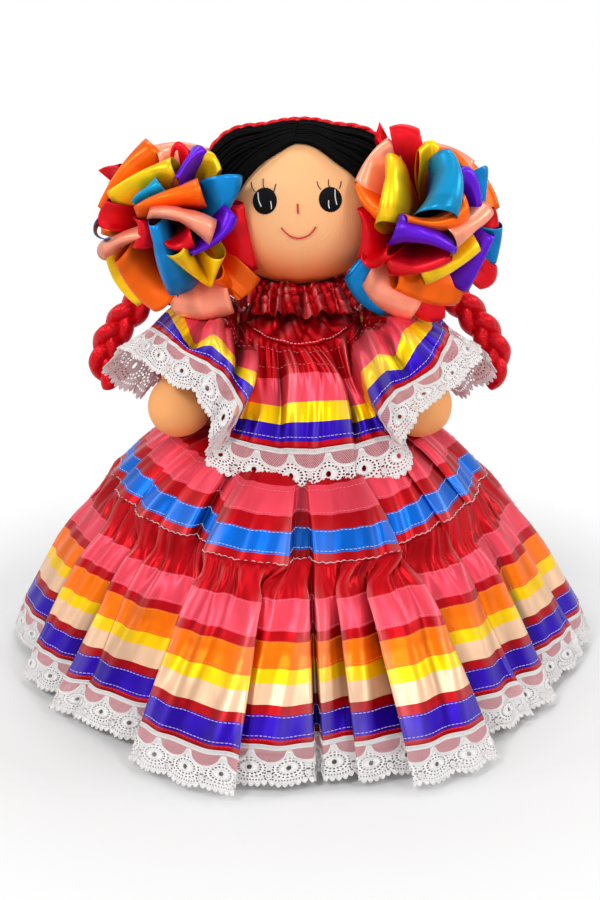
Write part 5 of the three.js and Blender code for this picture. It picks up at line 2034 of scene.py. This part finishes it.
# %% Figure
stuffed(torso_form, "figure", "skin", "torso")
wear([yoke, yoke_thread, lining], "figure", "red_satin", "yoke")
lies(yoke, yoke_cloth, [yoke_thread])
lies(lining, lining_cloth)
wear([collar_frill], "figure", "red_satin", "collar_frill")
lies(collar_frill, frill_cloth)
wear([waistband], "figure", "red_satin", "waistband")
lies(waistband, waist_cloth, length=waistband_depth)
upper_sewing = [*upper_seams, tier_seam]
wear([skirt_upper, *upper_sewing], "figure", "banded_satin", "skirt_upper")
lies(skirt_upper, upper_cloth, upper_sewing)
wear([skirt_lower, *lower_seams], "figure", "banded_satin", "skirt_lower")
lies(skirt_lower, lower_cloth, lower_seams)
wear(lace_hem_pieces, "figure", "lace", "lace_hem")
lies(lace_hem_pieces[0], hem_cloth, lace_hem_pieces[1:])
wear([petticoat], "figure", "net", "petticoat")
lies(petticoat, petticoat_cloth)
for place, (cloth, edge, sheet, trims, extras) in {"front": bib, "back": bib_back}.items():
    wear([sheet, *extras], "figure", "banded_satin", "ruffle_" + place)
    lies(sheet, cloth, extras)
    wear(trims, "figure", "lace", "lace_" + place)
    lies(trims[0], edge, trims[1:])

# %% Arms and legs
for name, side in sides.items():
    body = "arm_" + name
    stuffed(arms[name], body, "skin", "arm_" + name)
    stuffed(hands[name], body, "skin", "hand_" + name)
    wear([undersleeves[name]], body, "red_satin", "undersleeve_" + name)
    cloth, edge, sheet, trims, extras = sleeves[name]
    seam, past_seam = (side * sleeve_inner, 0, 0.243), (side * 0.066, 0, 0.243)
    for piece in (sheet, *trims, *extras):
        "lace" if piece in trims else "banded_satin"
        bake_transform(piece)
    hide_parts("ruffle_sleeve_" + name)
    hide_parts("lace_sleeve_" + name)
    lies(sheet, cloth, extras)
    lies(trims[0], edge, trims[1:])
    stuffed(legs[name], "leg_" + name, "skin", "leg_" + name)
    stuffed(shoes[name], "leg_" + name, "felt", "shoe_" + name)

# %% Neck and head
stuffed(neck_form, "neck", "skin", "neck")
stuffed(head, "head", "skin", "head")
wear([nose], "head", "red_thread", "nose_stitch")
wear([mouth], "head", "red_thread", "mouth_stitch")
wear([headband], "head", "red_satin", "headband")
for name in sides:
    wear([eyes[name]], "head", "eye_thread", "eye_" + name)
    wear([strokes[name], lashes[name]], "head", "eye_thread")
    wear([hair[name], caps[name]], "head", "hair", "hair_" + name)
    wear([braids[name], braid_cores[name]], "head", "red_satin", "braid_" + name)
    wear([bow_ties[name]], "head", "red_satin", "bow_tie_" + name)
    for colour in ribbon_order:
        piece = bow_pieces[name, colour]
        wear([piece], "head", "ribbon_" + colour, "bow_" + name + "_" + colour)

# %% [markdown]
# ## Floor and light
# The floor is white paper under soft studio light. To the camera it is partly self-lit, so it
# reads as white and yet keeps the doll's soft shadow. Its glow fades towards the doll and stops
# under the skirt, which paints shade round and under the doll. Lamps stand in front on the left
# and the right, at both sides, low in front and above, and a dim white world fills the rest.
# %% Floor


def seen_directly(tree):
    """1 where the camera looks, also by a mirror or through glass, and 0 for other light."""
    path = tree.nodes.new("ShaderNodeLightPath")
    seen = path.outputs["Is Camera Ray"]
    for label in ("Is Glossy Ray", "Is Transmission Ray"):
        either = tree.nodes.new("ShaderNodeMath")
        either.operation = "MAXIMUM"
        tree.links.new(seen, either.inputs[0])
        tree.links.new(path.outputs[label], either.inputs[1])
        seen = either.outputs[0]
    return seen


def mix_shaders(tree, share, first, second, output):
    """Joins two shaders to an output, the second one by a share."""
    blend = tree.nodes.new("ShaderNodeMixShader")
    for source, entry in zip((share, first, second), blend.inputs):
        tree.links.new(source, entry)
    tree.links.new(blend.outputs[0], tree.nodes[output].inputs["Surface"])


def floor_finish():
    finish = Finish("white paper floor", Roughness=0.9)
    x, y, z = finish.place()
    grain = finish.grain(3.0)
    finish.feed("Base Color", finish.mixed(grain, (0.80, 0.80, 0.80), (0.83, 0.83, 0.83)))
    glow = finish.node("Emission", None, {"Color": (1, 1, 1, 1), "Strength": 1.0})
    reach = (x * x + y * y).root()
    # Painted shade: the glow fades towards the doll and stops under the skirt, so the floor is
    # greyer round and under the doll even where no shadow falls.
    far = reach.ramp(0.25, 0.40)
    share = (far * (1 - floor_glow) + floor_glow) * reach.ramp(0.20, 0.25)
    share = share * Value(finish, seen_directly(finish.tree))
    paper = finish.shader.outputs[0]
    mix_shaders(finish.tree, share.socket, paper, glow.socket, "Material Output")
    return finish.material


floor_glow, floor_half, floor_down = 0.45, 30.0, -0.3 * mm
floor_points = [
    (floor_half * x, floor_half * y, floor_down) for x, y in ((-1, -1), (1, -1), (1, 1), (-1, 1))
]
floor_mesh = new_mesh("paper_floor", floor_points, [(0, 1, 2, 3)])
new_object("paper_floor", floor_mesh, floor_finish())

# %% Lamps and world


def lamp(name, place, target, size, power):
    """A round lamp at a place, aimed at a target."""
    data = bpy.data.lights.new(name, "AREA")
    data.shape, data.size, data.energy = "DISK", size, power
    made = bpy.data.objects.new(name, data)
    made.location = place
    made.rotation_euler = (Vector(target) - Vector(place)).to_track_quat("-Z", "Y").to_euler()
    scene.collection.objects.link(made)
    return made


# Name, place, height of the point it is aimed at, width in metres and power in watts
for name, place, aim, size, power in (
    ("key lamp", (-0.75, -1.25, 1.45), 0.18, 0.5, 13.0),
    ("right lamp", (1.0, -1.2, 1.3), 0.18, 0.5, 8.5),
    ("left side lamp", (-1.7, -0.1, 1.2), 0.2, 0.5, 8.0),
    ("right side lamp", (1.7, 0.1, 1.2), 0.2, 0.5, 8.0),
    ("low front lamp", (0.1, -2.0, 0.5), 0.25, 0.8, 3.0),
    ("top lamp", (0.2, 0.6, 1.9), 0.2, 0.8, 9.0),
):
    lamp(name, place, (0, 0, aim), size, power)
world = bpy.data.worlds.new("white room")
scene.world = world
world.use_nodes = True
tree = world.node_tree
light = tree.nodes["Background"]
light.inputs["Color"].default_value = (1, 1, 1, 1)
light.inputs["Strength"].default_value = 0.22
white = tree.nodes.new("ShaderNodeBackground")
white.inputs["Color"].default_value = (1, 1, 1, 1)
white.inputs["Strength"].default_value = 1.0
mix_shaders(tree, seen_directly(tree), light.outputs[0], white.outputs[0], "World Output")
scene.view_settings.view_transform = "Standard"
